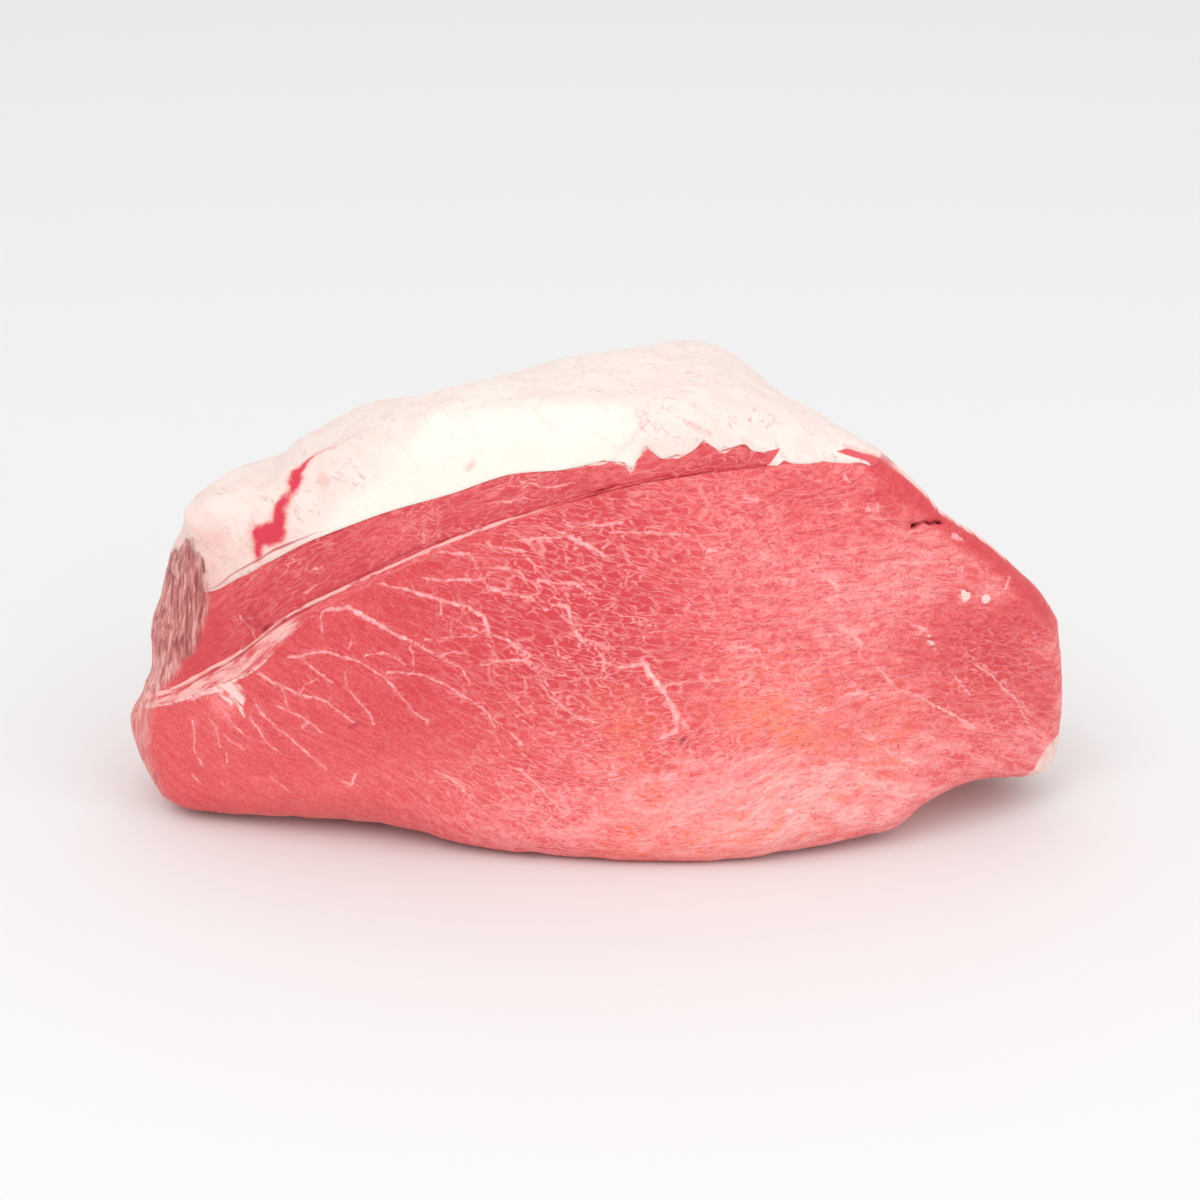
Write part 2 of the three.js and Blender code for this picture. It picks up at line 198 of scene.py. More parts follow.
def place(x, z, c):
    # section point (x, z) at share c of the depth: the face bows and leans, the rear sags and narrows,
    # and near the outline both faces turn over a rounded edge into the sides
    radius = mix(9 - 3.5 * ease(x, 60, 112), 9.5 - 6 * ease(z, 18, 40), ease(-x, 88, 108))
    edge = np.maximum(radius - toLines(x, z, outline), 0)
    rounding = radius - np.sqrt(np.maximum(radius ** 2 - edge ** 2, 0))
    depth = along(form["depth"], x)
    fromBow = x - form["bowX"]
    bow = np.where(fromBow < 0, *form["faceBow"]) * fromBow ** 2
    front = form["frontY"] + bow + form["faceLean"] * z * z
    y = mix(front + rounding, front + depth - form["rearLean"] * z * z - rounding, c)
    back = np.maximum((y - front) / depth, 0)
    swell = form["flare"] * ease(z, 30, 56) * (1 - ease(z, 67, 93)) * 6.75 * back * (1 - back) ** 2
    across = x - ease(-x, 70, 118) * (swell - form["narrow"][0] * back ** 2)
    across = across - form["narrow"][1] * back ** 1.6 * ease(x, 40, 130) + form["centreX"]
    kept = 1 - along(form["sag"], x) * back ** (2.2 - 1.05 * ease(x, 55, 88))
    lift = along(form["lift"], x) * np.maximum(1 - back / form["liftDepth"], 0) ** 2 * (1 - ease(z, 0, 40))
    wave = np.sin(x / 17 + 1.3) * np.sin(y / 15 + 0.4) + 0.5 * np.sin(x / 9.3 + y / 12)
    ripple = form["ripple"] * wave * ease(z, 30, 100) * 4 * back * (1 - back)
    return np.stack([across, y, np.maximum(z * kept + lift + ripple, 0)], -1), back


def lookVectors():
    # unit vectors along the view and up in the picture, from the camera's elevation
    e = np.radians(shot["elevation"])
    return np.array([0, np.cos(e), -np.sin(e)]), np.array([0, np.sin(e), np.cos(e)])


def photoPixel(points):
    # where the photograph's camera sees points given in mm
    ahead, up = lookVectors()
    away = points - (np.array(shot["target"]) - ahead * shot["distance"])
    scale = shot["lens"] / shot["sensor"] * shot["pixels"] / (away @ ahead)
    half = shot["pixels"] / 2
    return np.stack([half + away[..., 0] * scale, half - (away @ up) * scale], -1)


class Layer:
    # one closed piece: a blended grid over the section between four lines, as its front face and, at half
    # the fineness, its rear face, joined by a wall that follows the section's edge through the depth
    def __init__(self, bottom, right, top, left, across, up, rings, crowd=0.6):
        us, vs = crowded(across), crowded(up)
        bottom, top = sampled(bottom, us), sampled(top, us)
        left, right = sampled(left, vs), sampled(right, vs)
        u, v = us[:, None, None], vs[None, :, None]
        corners = mix(mix(bottom[0], bottom[-1], u), mix(top[0], top[-1], u), v)
        grid = mix(bottom[:, None], top[:, None], v) + mix(left[None], right[None], u) - corners
        index = np.arange((across + 1) * (up + 1)).reshape(across + 1, up + 1)
        loop = self.edgeOf(index)
        shares = np.linspace(0, 1, rings + 1)
        shares = mix(shares, shares ** 2, crowd)[1:-1]
        ring = grid.reshape(-1, 2)[loop]
        rear = grid[::2, ::2]
        self.section = np.concatenate([grid.reshape(-1, 2), np.tile(ring, (rings - 1, 1)), rear.reshape(-1, 2)])
        self.share = np.concatenate([np.zeros(index.size), np.repeat(shares, len(loop)),
                                     np.ones(rear[..., 0].size)])
        self.size = (across, up, rings, len(loop), index.size)
        self.x, self.z = self.section.T
        self.points, self.back = place(self.x, self.z, self.share)
        self.normals = self.surfaceNormals()
        wallStart, rearStart = index.size, index.size + (rings - 1) * len(loop)
        rearIndex = rearStart + np.arange(rear[..., 0].size).reshape(rear.shape[:2])
        rearLoop = self.edgeOf(rearIndex)
        walls = wallStart + np.arange((rings - 1) * len(loop)).reshape(rings - 1, -1)
        walls = np.concatenate([loop[None], walls])
        self.quads = np.concatenate([self.gridFaces(index), self.gridFaces(rearIndex)[:, ::-1],
                                     self.wallFaces(walls)])
        fine, coarse = walls[-1], rearLoop
        nextCoarse, mid = np.roll(coarse, -1), fine[1::2]
        self.triangles = np.concatenate([np.stack(t, -1) for t in (
            (fine[::2], coarse, mid), (coarse, nextCoarse, mid), (mid, nextCoarse, np.roll(fine, -2)[::2]))])

    def edgeOf(self, index):
        # once round the border of a grid
        return np.concatenate([index[:, 0], index[-1, 1:], index[-2::-1, -1], index[0, -2:0:-1]])

    def gridFaces(self, index):
        # the four corners of every cell of a grid
        a, b, c, d = index[:-1, :-1], index[1:, :-1], index[1:, 1:], index[:-1, 1:]
        return np.stack([a, b, c, d], -1).reshape(-1, 4)

    def wallFaces(self, walls):
        # a quad between each point of a ring, the next one and the same two on the next ring
        near, far = walls[:-1], walls[1:]
        quads = np.stack([np.roll(near, -1, 1), near, far, np.roll(far, -1, 1)], -1)
        return quads.reshape(-1, 4)

    def surfaceNormals(self):
        # cross product of the steps along the grid's two directions
        across, up, rings, around, front = self.size
        rearShape = (across // 2 + 1, up // 2 + 1, 3)
        wall = self.points[front:front + (rings - 1) * around].reshape(rings - 1, around, 3)
        # beside a contact surface the step along the ring is taken on the outer side only
        ring = slice(front, front + around)
        outer = np.where(toLines(self.x[ring], self.z[ring], outline) < 0.3, 1.0, 0.01)[:, None]
        onward, onto = np.roll(wall, -1, 1) - wall, wall - np.roll(wall, 1, 1)
        ringStep = onward * np.roll(outer, -1, 0) + onto * np.roll(outer, 1, 0)
        depthStep = np.gradient(wall, axis=0)
        parts = []
        for block, facing in ((self.points[:front].reshape(across + 1, up + 1, 3), 1),
                              (self.points[front + wall[..., 0].size:].reshape(rearShape), -1)):
            steps = np.gradient(block, axis=0), np.gradient(block, axis=1)
            parts.append(facing * np.cross(*steps).reshape(-1, 3))
        parts.insert(1, np.cross(depthStep, ringStep).reshape(-1, 3))
        normals = np.concatenate(parts)
        return normals / np.maximum(np.linalg.norm(normals, axis=1), 1e-9)[:, None]

    def seenAt(self, pixels):
        # section point and position of the vertex that the camera sees at each pixel on this piece: of those
        # close to the pixel only the nearest to the camera count
        ahead, _ = lookVectors()
        depth, seen = self.points @ ahead, photoPixel(self.points)
        picked = []
        for pixel in np.array(pixels, float):
            off = np.hypot(*(seen - pixel).T)
            first = np.min(depth + np.where(off < 6, 0, 1e4 + off))
            picked.append(np.argmin(off + np.where(depth > first + 8, 1e6, 0)))
        return self.section[picked], self.points[picked]


def onOutside(piece):
    # 1 on vertices of the joint's outer surface and both cut faces, 0 where the piece touches a neighbour
    wall = (piece.share > 0) & (piece.share < 1)
    away = toLines(piece.x, piece.z, outline)
    return np.where(wall, 1 - ease(away, 0.05, 0.6), 1.0)


def makePiece(name, piece, relief, values, material, slotName, *nodes):
    # moves each vertex along its normal by the relief in mm, writes the mesh and its attributes
    moved = piece.points + piece.normals * (relief * onOutside(piece))[:, None]
    moved[:, 2] = np.maximum(moved[:, 2], 0)
    mesh = bpy.data.meshes.new(name)
    counts = np.concatenate([np.full(len(piece.quads), 4), np.full(len(piece.triangles), 3)])
    corners = np.concatenate([piece.quads.ravel(), piece.triangles.ravel()])
    mesh.vertices.add(len(moved))
    mesh.vertices.foreach_set("co", (moved * mm).astype(np.float32).ravel())
    mesh.loops.add(len(corners))
    mesh.loops.foreach_set("vertex_index", corners.astype(np.int32))
    mesh.polygons.add(len(counts))
    mesh.polygons.foreach_set("loop_start", (np.cumsum(counts) - counts).astype(np.int32))
    mesh.update(calc_edges=True)
    mesh.validate()
    mesh.polygons.foreach_set("use_smooth", np.ones(len(mesh.polygons), bool))
    mesh.set_sharp_from_angle(angle=np.radians(60))  # keeps the contact faces out of the outside's shading
    for key, value in values.items():
        kind = "FLOAT_VECTOR" if value.ndim == 2 else "FLOAT"
        layer = mesh.attributes.new(key, kind, "POINT")
        layer.data.foreach_set("vector" if value.ndim == 2 else "value", value.astype(np.float32).ravel())
    made = bpy.data.objects.new(name, mesh)
    bpy.context.scene.collection.objects.link(made)
    made.data.materials.append(material)
    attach(made, "root")
    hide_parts(*nodes)
    print(name, len(moved), "vertices", 2 * len(piece.quads) + len(piece.triangles), "triangles")
    return made


# materials
def color(code):
    # sRGB hex to the linear colour the shaders take
    value = np.array([int(code[i:i + 2], 16) for i in (1, 3, 5)]) / 255
    linear = np.where(value <= 0.04045, value / 12.92, ((value + 0.055) / 1.055) ** 2.4)
    return (*linear, 1.0)


def add(tree, kind, inputs=None, out=0, **settings):
    # a shader node with its settings, its inputs set or linked; gives back one of its outputs
    made = tree.nodes.new("ShaderNode" + kind)
    for key, value in settings.items():
        setattr(made, key, value)
    for key, value in (inputs or {}).items():
        if isinstance(value, bpy.types.NodeSocket):
            tree.links.new(value, made.inputs[key])
        else:
            made.inputs[key].default_value = value
    return made.outputs[out] if len(made.outputs) else made


def newMaterial(name):
    # a material with an empty node tree
    made = bpy.data.materials.new(name)
    made.use_nodes = True
    made.node_tree.nodes.clear()
    return made, made.node_tree


meatLook = dict(
    dark="#d6444b", middle="#eb6465", pale="#ff9c9b", palest="#ffbcb8", orange="#fc8468",
    marbling="#fda4a4", vein="#fdabac", fat="#ffdfda", crease="#cf4654", creaseShade="#a82c3a", pitShadow="#3c0e14",
    film="#fad3cc", dryDark="#904448", dryMiddle="#c67571", dryPale="#f1b4ae",
    web=(4.6, 0.6, 0.06, 0.7),       # marbling: cell size in mm, share of borders seen, width, strength
    fineWeb=(1.8, 0.1, 0.75),        # small cells between it: size in mm, width, strength
    threads=(2.1, 0.04, 0.9),        # dark threads: spacing in mm, thickness, strength
    streaks=(0.5, 0.65),             # strength of the pale and of the dark streaks
    roughness=0.4,
)


def driedLook(tree, where, tone, look):
    # skin that the air has dried: mauve brown with pale flecks, finely wrinkled up and down, its cracks
    # darkened with painted shade
    squeezed = add(tree, "Mapping", {"Vector": where, "Scale": (850.0, 450.0, 105.0)})
    folds = add(tree, "TexNoise", {"Vector": squeezed, "Scale": 1.0, "Detail": 3.5, "Roughness": 0.62,
                                   "Distortion": 0.7})
    height = add(tree, "Math", {0: folds, 1: tone}, operation="ADD")
    ramp = tree.nodes.new("ShaderNodeValToRGB")
    ramp.color_ramp.elements[0].position, ramp.color_ramp.elements[0].color = 0.33, color(look["dryDark"])
    ramp.color_ramp.elements[1].position, ramp.color_ramp.elements[1].color = 0.69, color(look["dryPale"])
    ramp.color_ramp.elements.new(0.49).color = color(look["dryMiddle"])
    tree.links.new(height, ramp.inputs[0])
    return ramp.outputs[0], folds


def meatMaterial(name, look):
    # Raw beef muscle, knife cut and moist: deep coral red in streaks of paler and darker fibres, with pale
    # pink marbling, a soft wet sheen, and a paler film or dried skin on its outside.
    made, t = newMaterial(name)
    values = {key: add(t, "Attribute", attribute_name=key, out="Fac")
              for key in ("tone", "warm", "vein", "clear", "shadedFold", "fatty", "fibre", "film", "dry", "age")}
    grain = add(t, "Attribute", attribute_name="grain", out="Vector")
    where = add(t, "TexCoord", out="Object")

    # grain coordinates, in mm, shaken so that no line runs straight
    shake = add(t, "TexNoise", {"Vector": grain, "Scale": 0.22, "Detail": 3.0, "Roughness": 0.6},
                noise_dimensions="2D", out="Color")
    shake = add(t, "VectorMath", {0: shake, 1: (0.5, 0.5, 0.5)}, operation="SUBTRACT")
    shaken = add(t, "VectorMath", {0: shake, 1: (2.0, 4.0, 0.0), 2: grain}, operation="MULTIPLY_ADD")

    # lean colour: dark to pale by the broad tone, mottled along the grain more where the fibres show more
    mottle = add(t, "TexNoise", {"Vector": shaken, "Scale": 0.42, "Detail": 5.0, "Roughness": 0.68},
                 noise_dimensions="2D")
    fine = add(t, "TexNoise", {"Vector": where, "Scale": 1300.0, "Detail": 2.0, "Roughness": 0.6})
    contrast = add(t, "Math", {0: values["fibre"], 1: 1.4, 2: 0.45}, operation="MULTIPLY_ADD")
    mottled = add(t, "Math", {0: mottle, 1: 0.5}, operation="SUBTRACT")
    shade = add(t, "Math", {0: mottled, 1: contrast, 2: values["tone"]}, operation="MULTIPLY_ADD")
    finer = add(t, "Math", {0: fine, 1: 0.9, 2: -0.45}, operation="MULTIPLY_ADD")
    shade = add(t, "Math", {0: shade, 1: finer}, operation="ADD")
    ramp = t.nodes.new("ShaderNodeValToRGB")
    ramp.color_ramp.elements[0].position, ramp.color_ramp.elements[0].color = 0.0, color(look["dark"])
    ramp.color_ramp.elements[1].position, ramp.color_ramp.elements[1].color = 1.0, color(look["palest"])
    ramp.color_ramp.elements.new(0.35).color = color(look["middle"])
    ramp.color_ramp.elements.new(0.75).color = color(look["pale"])
    squeezed = add(t, "Math", {0: shade, 1: 0.78}, operation="MULTIPLY")
    t.links.new(squeezed, ramp.inputs[0])
    glow = add(t, "Math", {0: mottled, 1: -3.0, 2: values["warm"]}, operation="MULTIPLY_ADD")
    glow = add(t, "Math", {0: glow, 1: values["warm"]}, operation="MULTIPLY", use_clamp=True)
    glow = add(t, "Math", {0: glow, 1: 1.4}, operation="MULTIPLY", use_clamp=True)
    lean = add(t, "Mix", {0: glow, 6: ramp.outputs[0], 7: color(look["orange"])}, data_type="RGBA", out=2)

    # streaks of pale and of dark fibres, a few mm long and half a mm wide
    long = add(t, "VectorMath", {0: shaken, 1: (0.6, 1.0, 0.0)}, operation="MULTIPLY")
    streak = add(t, "TexNoise", {"Vector": long, "Scale": 1.3, "Detail": 3.0, "Roughness": 0.6},
                 noise_dimensions="2D")
    paleStreaks, darkStreaks = look["streaks"]
    bright = add(t, "MapRange", {"Value": streak, "From Min": 0.53, "From Max": 0.66, "To Max": paleStreaks})
    bright = add(t, "Math", {0: bright, 1: values["fatty"]}, operation="MULTIPLY")
    dull = add(t, "MapRange", {"Value": streak, "From Min": 0.46, "From Max": 0.34, "To Max": darkStreaks})
    dull = add(t, "Math", {0: dull, 1: values["fibre"]}, operation="MULTIPLY")

    # dark threads: lines where a smooth noise, longer along the grain, crosses its middle value
    size, thick, strength = look["threads"]
    gate = add(t, "TexNoise", {"Vector": grain, "Scale": 0.2, "Detail": 3.0, "Roughness": 0.65},
               noise_dimensions="2D")
    wave = add(t, "TexNoise", {"Vector": shaken, "Scale": 1 / size, "Detail": 2.5, "Roughness": 0.55},
               noise_dimensions="2D")
    wave = add(t, "Math", {0: wave, 1: 0.5}, operation="SUBTRACT")
    wave = add(t, "Math", {0: wave}, operation="ABSOLUTE")
    thread = add(t, "MapRange", {"Value": wave, "From Min": 0.1 * thick, "From Max": thick,
                                 "To Min": strength, "To Max": 0.0})
    there = add(t, "MapRange", {"Value": gate, "From Min": 0.36, "From Max": 0.56})
    thread = add(t, "Math", {0: thread, 1: there}, operation="MULTIPLY")
    thread = add(t, "Math", {0: thread, 1: values["fibre"]}, operation="MULTIPLY")
    dull = add(t, "Math", {0: dull, 1: thread}, operation="MAXIMUM")
    lean = add(t, "Mix", {0: dull, 6: lean, 7: color(look["crease"])}, data_type="RGBA", out=2)

    # marbling: borders between cells; each border has its own strength, from the colours of the two cells
    # that it parts, and only a share of them shows
    size, seen, edge, strength = look["web"]
    breaks = add(t, "MapRange", {"Value": gate, "From Min": 0.38, "From Max": 0.6,
                                 "To Min": -0.04, "To Max": 0.02})
    cell = {"Vector": add(t, "VectorMath", {0: shaken, 1: (1.6, 1.0, 0.0)}, operation="MULTIPLY"),
            "Scale": 1 / size}
    gap = add(t, "TexVoronoi", cell, feature="DISTANCE_TO_EDGE", voronoi_dimensions="2D")
    one = add(t, "TexVoronoi", cell, feature="F1", voronoi_dimensions="2D", out="Color")
    two = add(t, "TexVoronoi", cell, feature="F2", voronoi_dimensions="2D", out="Color")
    both = add(t, "VectorMath", {0: one, 1: two}, operation="ADD")
    lot = add(t, "VectorMath", {0: both, 1: (3.7, 5.3, 4.1)}, operation="DOT_PRODUCT", out="Value")
    lot = add(t, "Math", {0: lot}, operation="FRACT")
    wide = add(t, "MapRange", {"Value": lot, "From Min": 1 - seen, "To Max": edge})
    inside = add(t, "Math", {0: wide, 1: gap}, operation="SUBTRACT")
    inside = add(t, "Math", {0: inside, 1: breaks}, operation="ADD")
    web = add(t, "MapRange", {"Value": inside, "From Min": -0.03, "From Max": 0.04, "To Max": strength})
    size, thick, strength = look["fineWeb"]
    small = add(t, "TexVoronoi", {"Vector": shaken, "Scale": 1 / size, "Randomness": 1.0},
                feature="DISTANCE_TO_EDGE", voronoi_dimensions="2D")
    small = add(t, "Math", {0: streak, 1: 0.7, 2: small}, operation="MULTIPLY_ADD")
    small = add(t, "MapRange", {"Value": small, "From Min": 0.32 + thick, "From Max": 0.32,
                                "To Max": strength})
    web = add(t, "Math", {0: web, 1: small}, operation="MAXIMUM")
    web = add(t, "Math", {0: web, 1: values["fatty"]}, operation="MULTIPLY")
    web = add(t, "Math", {0: web, 1: bright}, operation="MAXIMUM", use_clamp=True)
    lean = add(t, "Mix", {0: web, 6: lean, 7: color(look["marbling"])}, data_type="RGBA", out=2)

    # listed veins: half width less the distance to the middle, shaken by fine noise
    toVein = add(t, "Attribute", attribute_name="offset", out="Vector")
    tremble = add(t, "TexNoise", {"Vector": where, "Scale": 520.0, "Detail": 4.0, "Roughness": 0.65},
                  out="Color")
    tremble = add(t, "VectorMath", {0: tremble, 1: (0.5, 0.5, 0.5)}, operation="SUBTRACT")
    toVein = add(t, "VectorMath", {0: tremble, 1: (1.3, 1.3, 1.3), 2: toVein}, operation="MULTIPLY_ADD")
    half = add(t, "SeparateXYZ", {0: toVein}, out="Z")
    beads = add(t, "TexNoise", {"Vector": where, "Scale": 420.0, "Detail": 2.0, "Roughness": 0.5})
    swelling = add(t, "MapRange", {"Value": beads, "From Min": 0.36, "From Max": 0.64,
                                   "To Min": 0.5, "To Max": 1.45})
    half = add(t, "Math", {0: half, 1: swelling}, operation="MULTIPLY")
    flat = add(t, "VectorMath", {0: toVein, 1: (1.0, 1.0, 0.0)}, operation="MULTIPLY")
    reach = add(t, "VectorMath", {0: flat}, operation="LENGTH", out="Value")
    depth = add(t, "Math", {0: half, 1: reach}, operation="SUBTRACT")
    depth = add(t, "Mix", {0: values["clear"], 2: values["vein"], 3: depth})
    veinMask = add(t, "MapRange", {"Value": depth, "From Min": -0.34, "From Max": 0.32, "To Max": 0.9},
                   interpolation_type="SMOOTHSTEP")
    near = add(t, "MapRange", {"Value": values["vein"], "From Min": -0.5, "From Max": -0.25})
    solid = add(t, "MapRange", {"Value": beads, "From Min": 0.36, "From Max": 0.52, "To Min": 0.68})
    near = add(t, "Math", {0: near, 1: solid}, operation="MULTIPLY")
    veinMask = add(t, "Math", {0: veinMask, 1: near}, operation="MULTIPLY")
    whiter = add(t, "MapRange", {"Value": depth, "From Min": 0.3, "From Max": 1.0})
    veinColor = add(t, "Mix", {0: whiter, 6: color(look["vein"]), 7: color(look["fat"])},
                    data_type="RGBA", out=2)
    lean = add(t, "Mix", {0: veinMask, 6: lean, 7: veinColor}, data_type="RGBA", out=2)

    # creases: painted shade, dark red where shallow, almost black where deep
    shadow = add(t, "MapRange", {"Value": values["shadedFold"], "From Min": 0.35, "From Max": 0.9})
    shadow = add(t, "Mix", {0: shadow, 6: color(look["creaseShade"]), 7: color(look["pitShadow"])},
                 data_type="RGBA", out=2)
    hidden = add(t, "Math", {0: values["shadedFold"], 1: 1.3}, operation="MULTIPLY", use_clamp=True)
    lean = add(t, "Mix", {0: hidden, 6: lean, 7: shadow}, data_type="RGBA", out=2)

    # outside of the muscle: thin pale film in streaks, and skin dried by the air
    filmy = add(t, "MapRange", {"Value": mottle, "From Min": 0.35, "From Max": 0.62})
    filmed = add(t, "Math", {0: values["film"], 1: filmy}, operation="MULTIPLY", use_clamp=True)
    whole = add(t, "Math", {0: values["film"], 1: -3.0}, operation="ADD", use_clamp=True)
    filmed = add(t, "Math", {0: filmed, 1: whole}, operation="MAXIMUM")
    lean = add(t, "Mix", {0: filmed, 6: lean, 7: color(look["film"])}, data_type="RGBA", out=2)
    dryColor, folds = driedLook(t, where, values["age"], look)
    lean = add(t, "Mix", {0: values["dry"], 6: lean, 7: dryColor}, data_type="RGBA", out=2)

    # surface: fine ridges, and wrinkles where dried
    ridge = add(t, "Math", {0: fine, 1: 0.35, 2: mottle}, operation="MULTIPLY_ADD")
    crinkle = add(t, "Math", {0: folds, 1: values["dry"]}, operation="MULTIPLY")
    ridge = add(t, "Math", {0: crinkle, 1: 2.5, 2: ridge}, operation="MULTIPLY_ADD")
    bump = add(t, "Bump", {"Height": ridge, "Strength": 0.4, "Distance": 0.0006})
    rough = add(t, "Math", {0: values["dry"], 1: 0.22, 2: look["roughness"]}, operation="MULTIPLY_ADD")
    rough = add(t, "Math", {0: mottled, 1: 0.2, 2: rough}, operation="MULTIPLY_ADD")
    surface = add(t, "BsdfPrincipled", {
        "Base Color": lean, "Roughness": rough, "Normal": bump, "IOR": 1.38, "Specular IOR Level": 0.4})
    add(t, "OutputMaterial", {"Surface": surface})
    return made


fatLook = dict(
    cream="#f5f0e6", skin="#f5e4dc", pink="#f0c2b9", lean="#e25a62", gap="#bf3f4c", blood="#dd3a50",
    bloodEdge="#f4a098", stain="#d59a92", slit="#7a2a2c",
    dryDark=meatLook["dryDark"], dryMiddle=meatLook["dryMiddle"], dryPale=meatLook["dryPale"],
    roughness=0.42, scatter=0.15,
)


def fatMaterial(name, look):
    # Hard beef fat: waxy, almost white and cream where cut, pinkish under its thin outer skin, with faint
    # threads of membrane, a stain of blood and a satin surface that lets light in a little.
    made, t = newMaterial(name)
    values = {key: add(t, "Attribute", attribute_name=key, out="Fac")
              for key in ("skin", "blood", "pink", "thread", "dry", "age", "lean", "vein", "shadedFold")}
    place3 = add(t, "TexCoord", out="Object")
    cloud = add(t, "TexNoise", {"Vector": place3, "Scale": 60.0, "Detail": 4.0, "Roughness": 0.6})
    curd = add(t, "TexNoise", {"Vector": place3, "Scale": 420.0, "Detail": 4.0, "Roughness": 0.65})
    turned = add(t, "Mapping", {"Vector": place3, "Rotation": (0.0, -0.6, 0.5)})
    stretched = add(t, "Mapping", {"Vector": turned, "Scale": (45.0, 90.0, 150.0)})
    hair = add(t, "TexNoise", {"Vector": stretched, "Scale": 1.0, "Detail": 5.0, "Roughness": 0.6,
                               "Distortion": 0.7})
    # threads of membrane: where the stretched noise crosses its middle value
    line = add(t, "Math", {0: hair, 1: 0.5}, operation="SUBTRACT")
    line = add(t, "Math", {0: line}, operation="ABSOLUTE")
    line = add(t, "MapRange", {"Value": line, "From Max": 0.014, "To Min": 1.0, "To Max": 0.0})
    gate = add(t, "MapRange", {"Value": curd, "From Min": 0.45, "From Max": 0.6})
    line = add(t, "Math", {0: line, 1: gate}, operation="MULTIPLY")
    thread = add(t, "Math", {0: line, 1: values["thread"]}, operation="MULTIPLY")

    base = add(t, "Mix", {0: values["skin"], 6: color(look["cream"]), 7: color(look["skin"])},
               data_type="RGBA", out=2)
    flush = add(t, "MapRange", {"Value": hair, "From Min": 0.45, "From Max": 0.75, "To Max": 0.4})
    flush = add(t, "Math", {0: flush, 1: values["skin"]}, operation="MULTIPLY")
    flush = add(t, "Math", {0: flush, 1: values["pink"]}, operation="ADD")
    base = add(t, "Mix", {0: flush, 6: base, 7: color(look["pink"])}, data_type="RGBA", out=2)
    base = add(t, "Mix", {0: thread, 6: base, 7: color(look["stain"])}, data_type="RGBA", out=2)
    # blood: a ragged core in a soft halo
    ragged = add(t, "Math", {0: curd, 1: 3.4, 2: -1.7}, operation="MULTIPLY_ADD")
    wet = add(t, "Math", {0: values["blood"], 1: ragged}, operation="ADD")
    halo = add(t, "MapRange", {"Value": wet, "From Min": -2.4, "From Max": 0.2, "To Max": 0.75},
               interpolation_type="SMOOTHSTEP")
    core = add(t, "MapRange", {"Value": wet, "From Min": -1.2, "From Max": 0.6},
               interpolation_type="SMOOTHSTEP")
    base = add(t, "Mix", {0: halo, 6: base, 7: color(look["bloodEdge"])}, data_type="RGBA", out=2)
    base = add(t, "Mix", {0: core, 6: base, 7: color(look["blood"])}, data_type="RGBA", out=2)

    # lean showing through: patches by their depth inside, and thin lines, lean darkened with painted shade, by
    # the distance to their middle
    toLine = add(t, "Attribute", attribute_name="offset", out="Vector")
    half = add(t, "SeparateXYZ", {0: toLine}, out="Z")
    flat = add(t, "VectorMath", {0: toLine, 1: (1.0, 1.0, 0.0)}, operation="MULTIPLY")
    reach = add(t, "VectorMath", {0: flat}, operation="LENGTH", out="Value")
    depth = add(t, "Math", {0: half, 1: reach}, operation="SUBTRACT")
    line = add(t, "MapRange", {"Value": depth, "From Min": -0.2, "From Max": 0.15, "To Max": 0.8})
    near = add(t, "MapRange", {"Value": values["vein"], "From Min": -1.1, "From Max": -0.8})
    line = add(t, "Math", {0: line, 1: near}, operation="MULTIPLY")
    base = add(t, "Mix", {0: line, 6: base, 7: color(look["gap"])}, data_type="RGBA", out=2)
    patch = add(t, "Math", {0: ragged, 1: 0.12, 2: values["lean"]}, operation="MULTIPLY_ADD")
    patch = add(t, "MapRange", {"Value": patch, "From Min": -0.15, "From Max": 0.15})
    base = add(t, "Mix", {0: patch, 6: base, 7: color(look["lean"])}, data_type="RGBA", out=2)
    dryColor, folds = driedLook(t, place3, values["age"], look)
    base = add(t, "Mix", {0: values["dry"], 6: base, 7: dryColor}, data_type="RGBA", out=2)
    # painted shadow in the slit between the fat's cut edge and the dried skin
    base = add(t, "Mix", {0: values["shadedFold"], 6: base, 7: color(look["slit"])}, data_type="RGBA", out=2)

    lumps = add(t, "Math", {0: cloud, 1: 1.0, 2: curd}, operation="MULTIPLY_ADD")
    lumps = add(t, "Math", {0: thread, 1: -0.5, 2: lumps}, operation="MULTIPLY_ADD")
    lumps = add(t, "Math", {0: patch, 1: -0.5, 2: lumps}, operation="MULTIPLY_ADD")
    crinkle = add(t, "Math", {0: folds, 1: values["dry"]}, operation="MULTIPLY")
    lumps = add(t, "Math", {0: crinkle, 1: 2.5, 2: lumps}, operation="MULTIPLY_ADD")
    bump = add(t, "Bump", {"Height": lumps, "Strength": 0.4, "Distance": 0.0007})
    surface = add(t, "BsdfPrincipled", {
        "Base Color": base, "Roughness": look["roughness"], "Normal": bump,
        "IOR": 1.45, "Specular IOR Level": 0.4, "Subsurface Weight": look["scatter"],
        "Subsurface Radius": (1.0, 0.6, 0.5), "Subsurface Scale": 0.003})
    add(t, "OutputMaterial", {"Surface": surface})
    return made


# fields that the pieces share
seamUpper = drawn(lines["seam"])
seamRun = np.gradient(seamUpper, axis=0)
seamRun = seamRun / np.hypot(*seamRun.T)[:, None]
seamWidth = along(form["seamThickness"], seamUpper[:, 0])[:, None]
seamLower = seamUpper + np.stack([seamRun[:, 1], -seamRun[:, 0]], -1) * seamWidth
seamLower[0] = lines["mainLeft"][-1]
fatUnder, fatTail, capRight = drawn(lines["fatUnder"]), drawn(lines["fatTail"]), drawn(lines["capRight"])

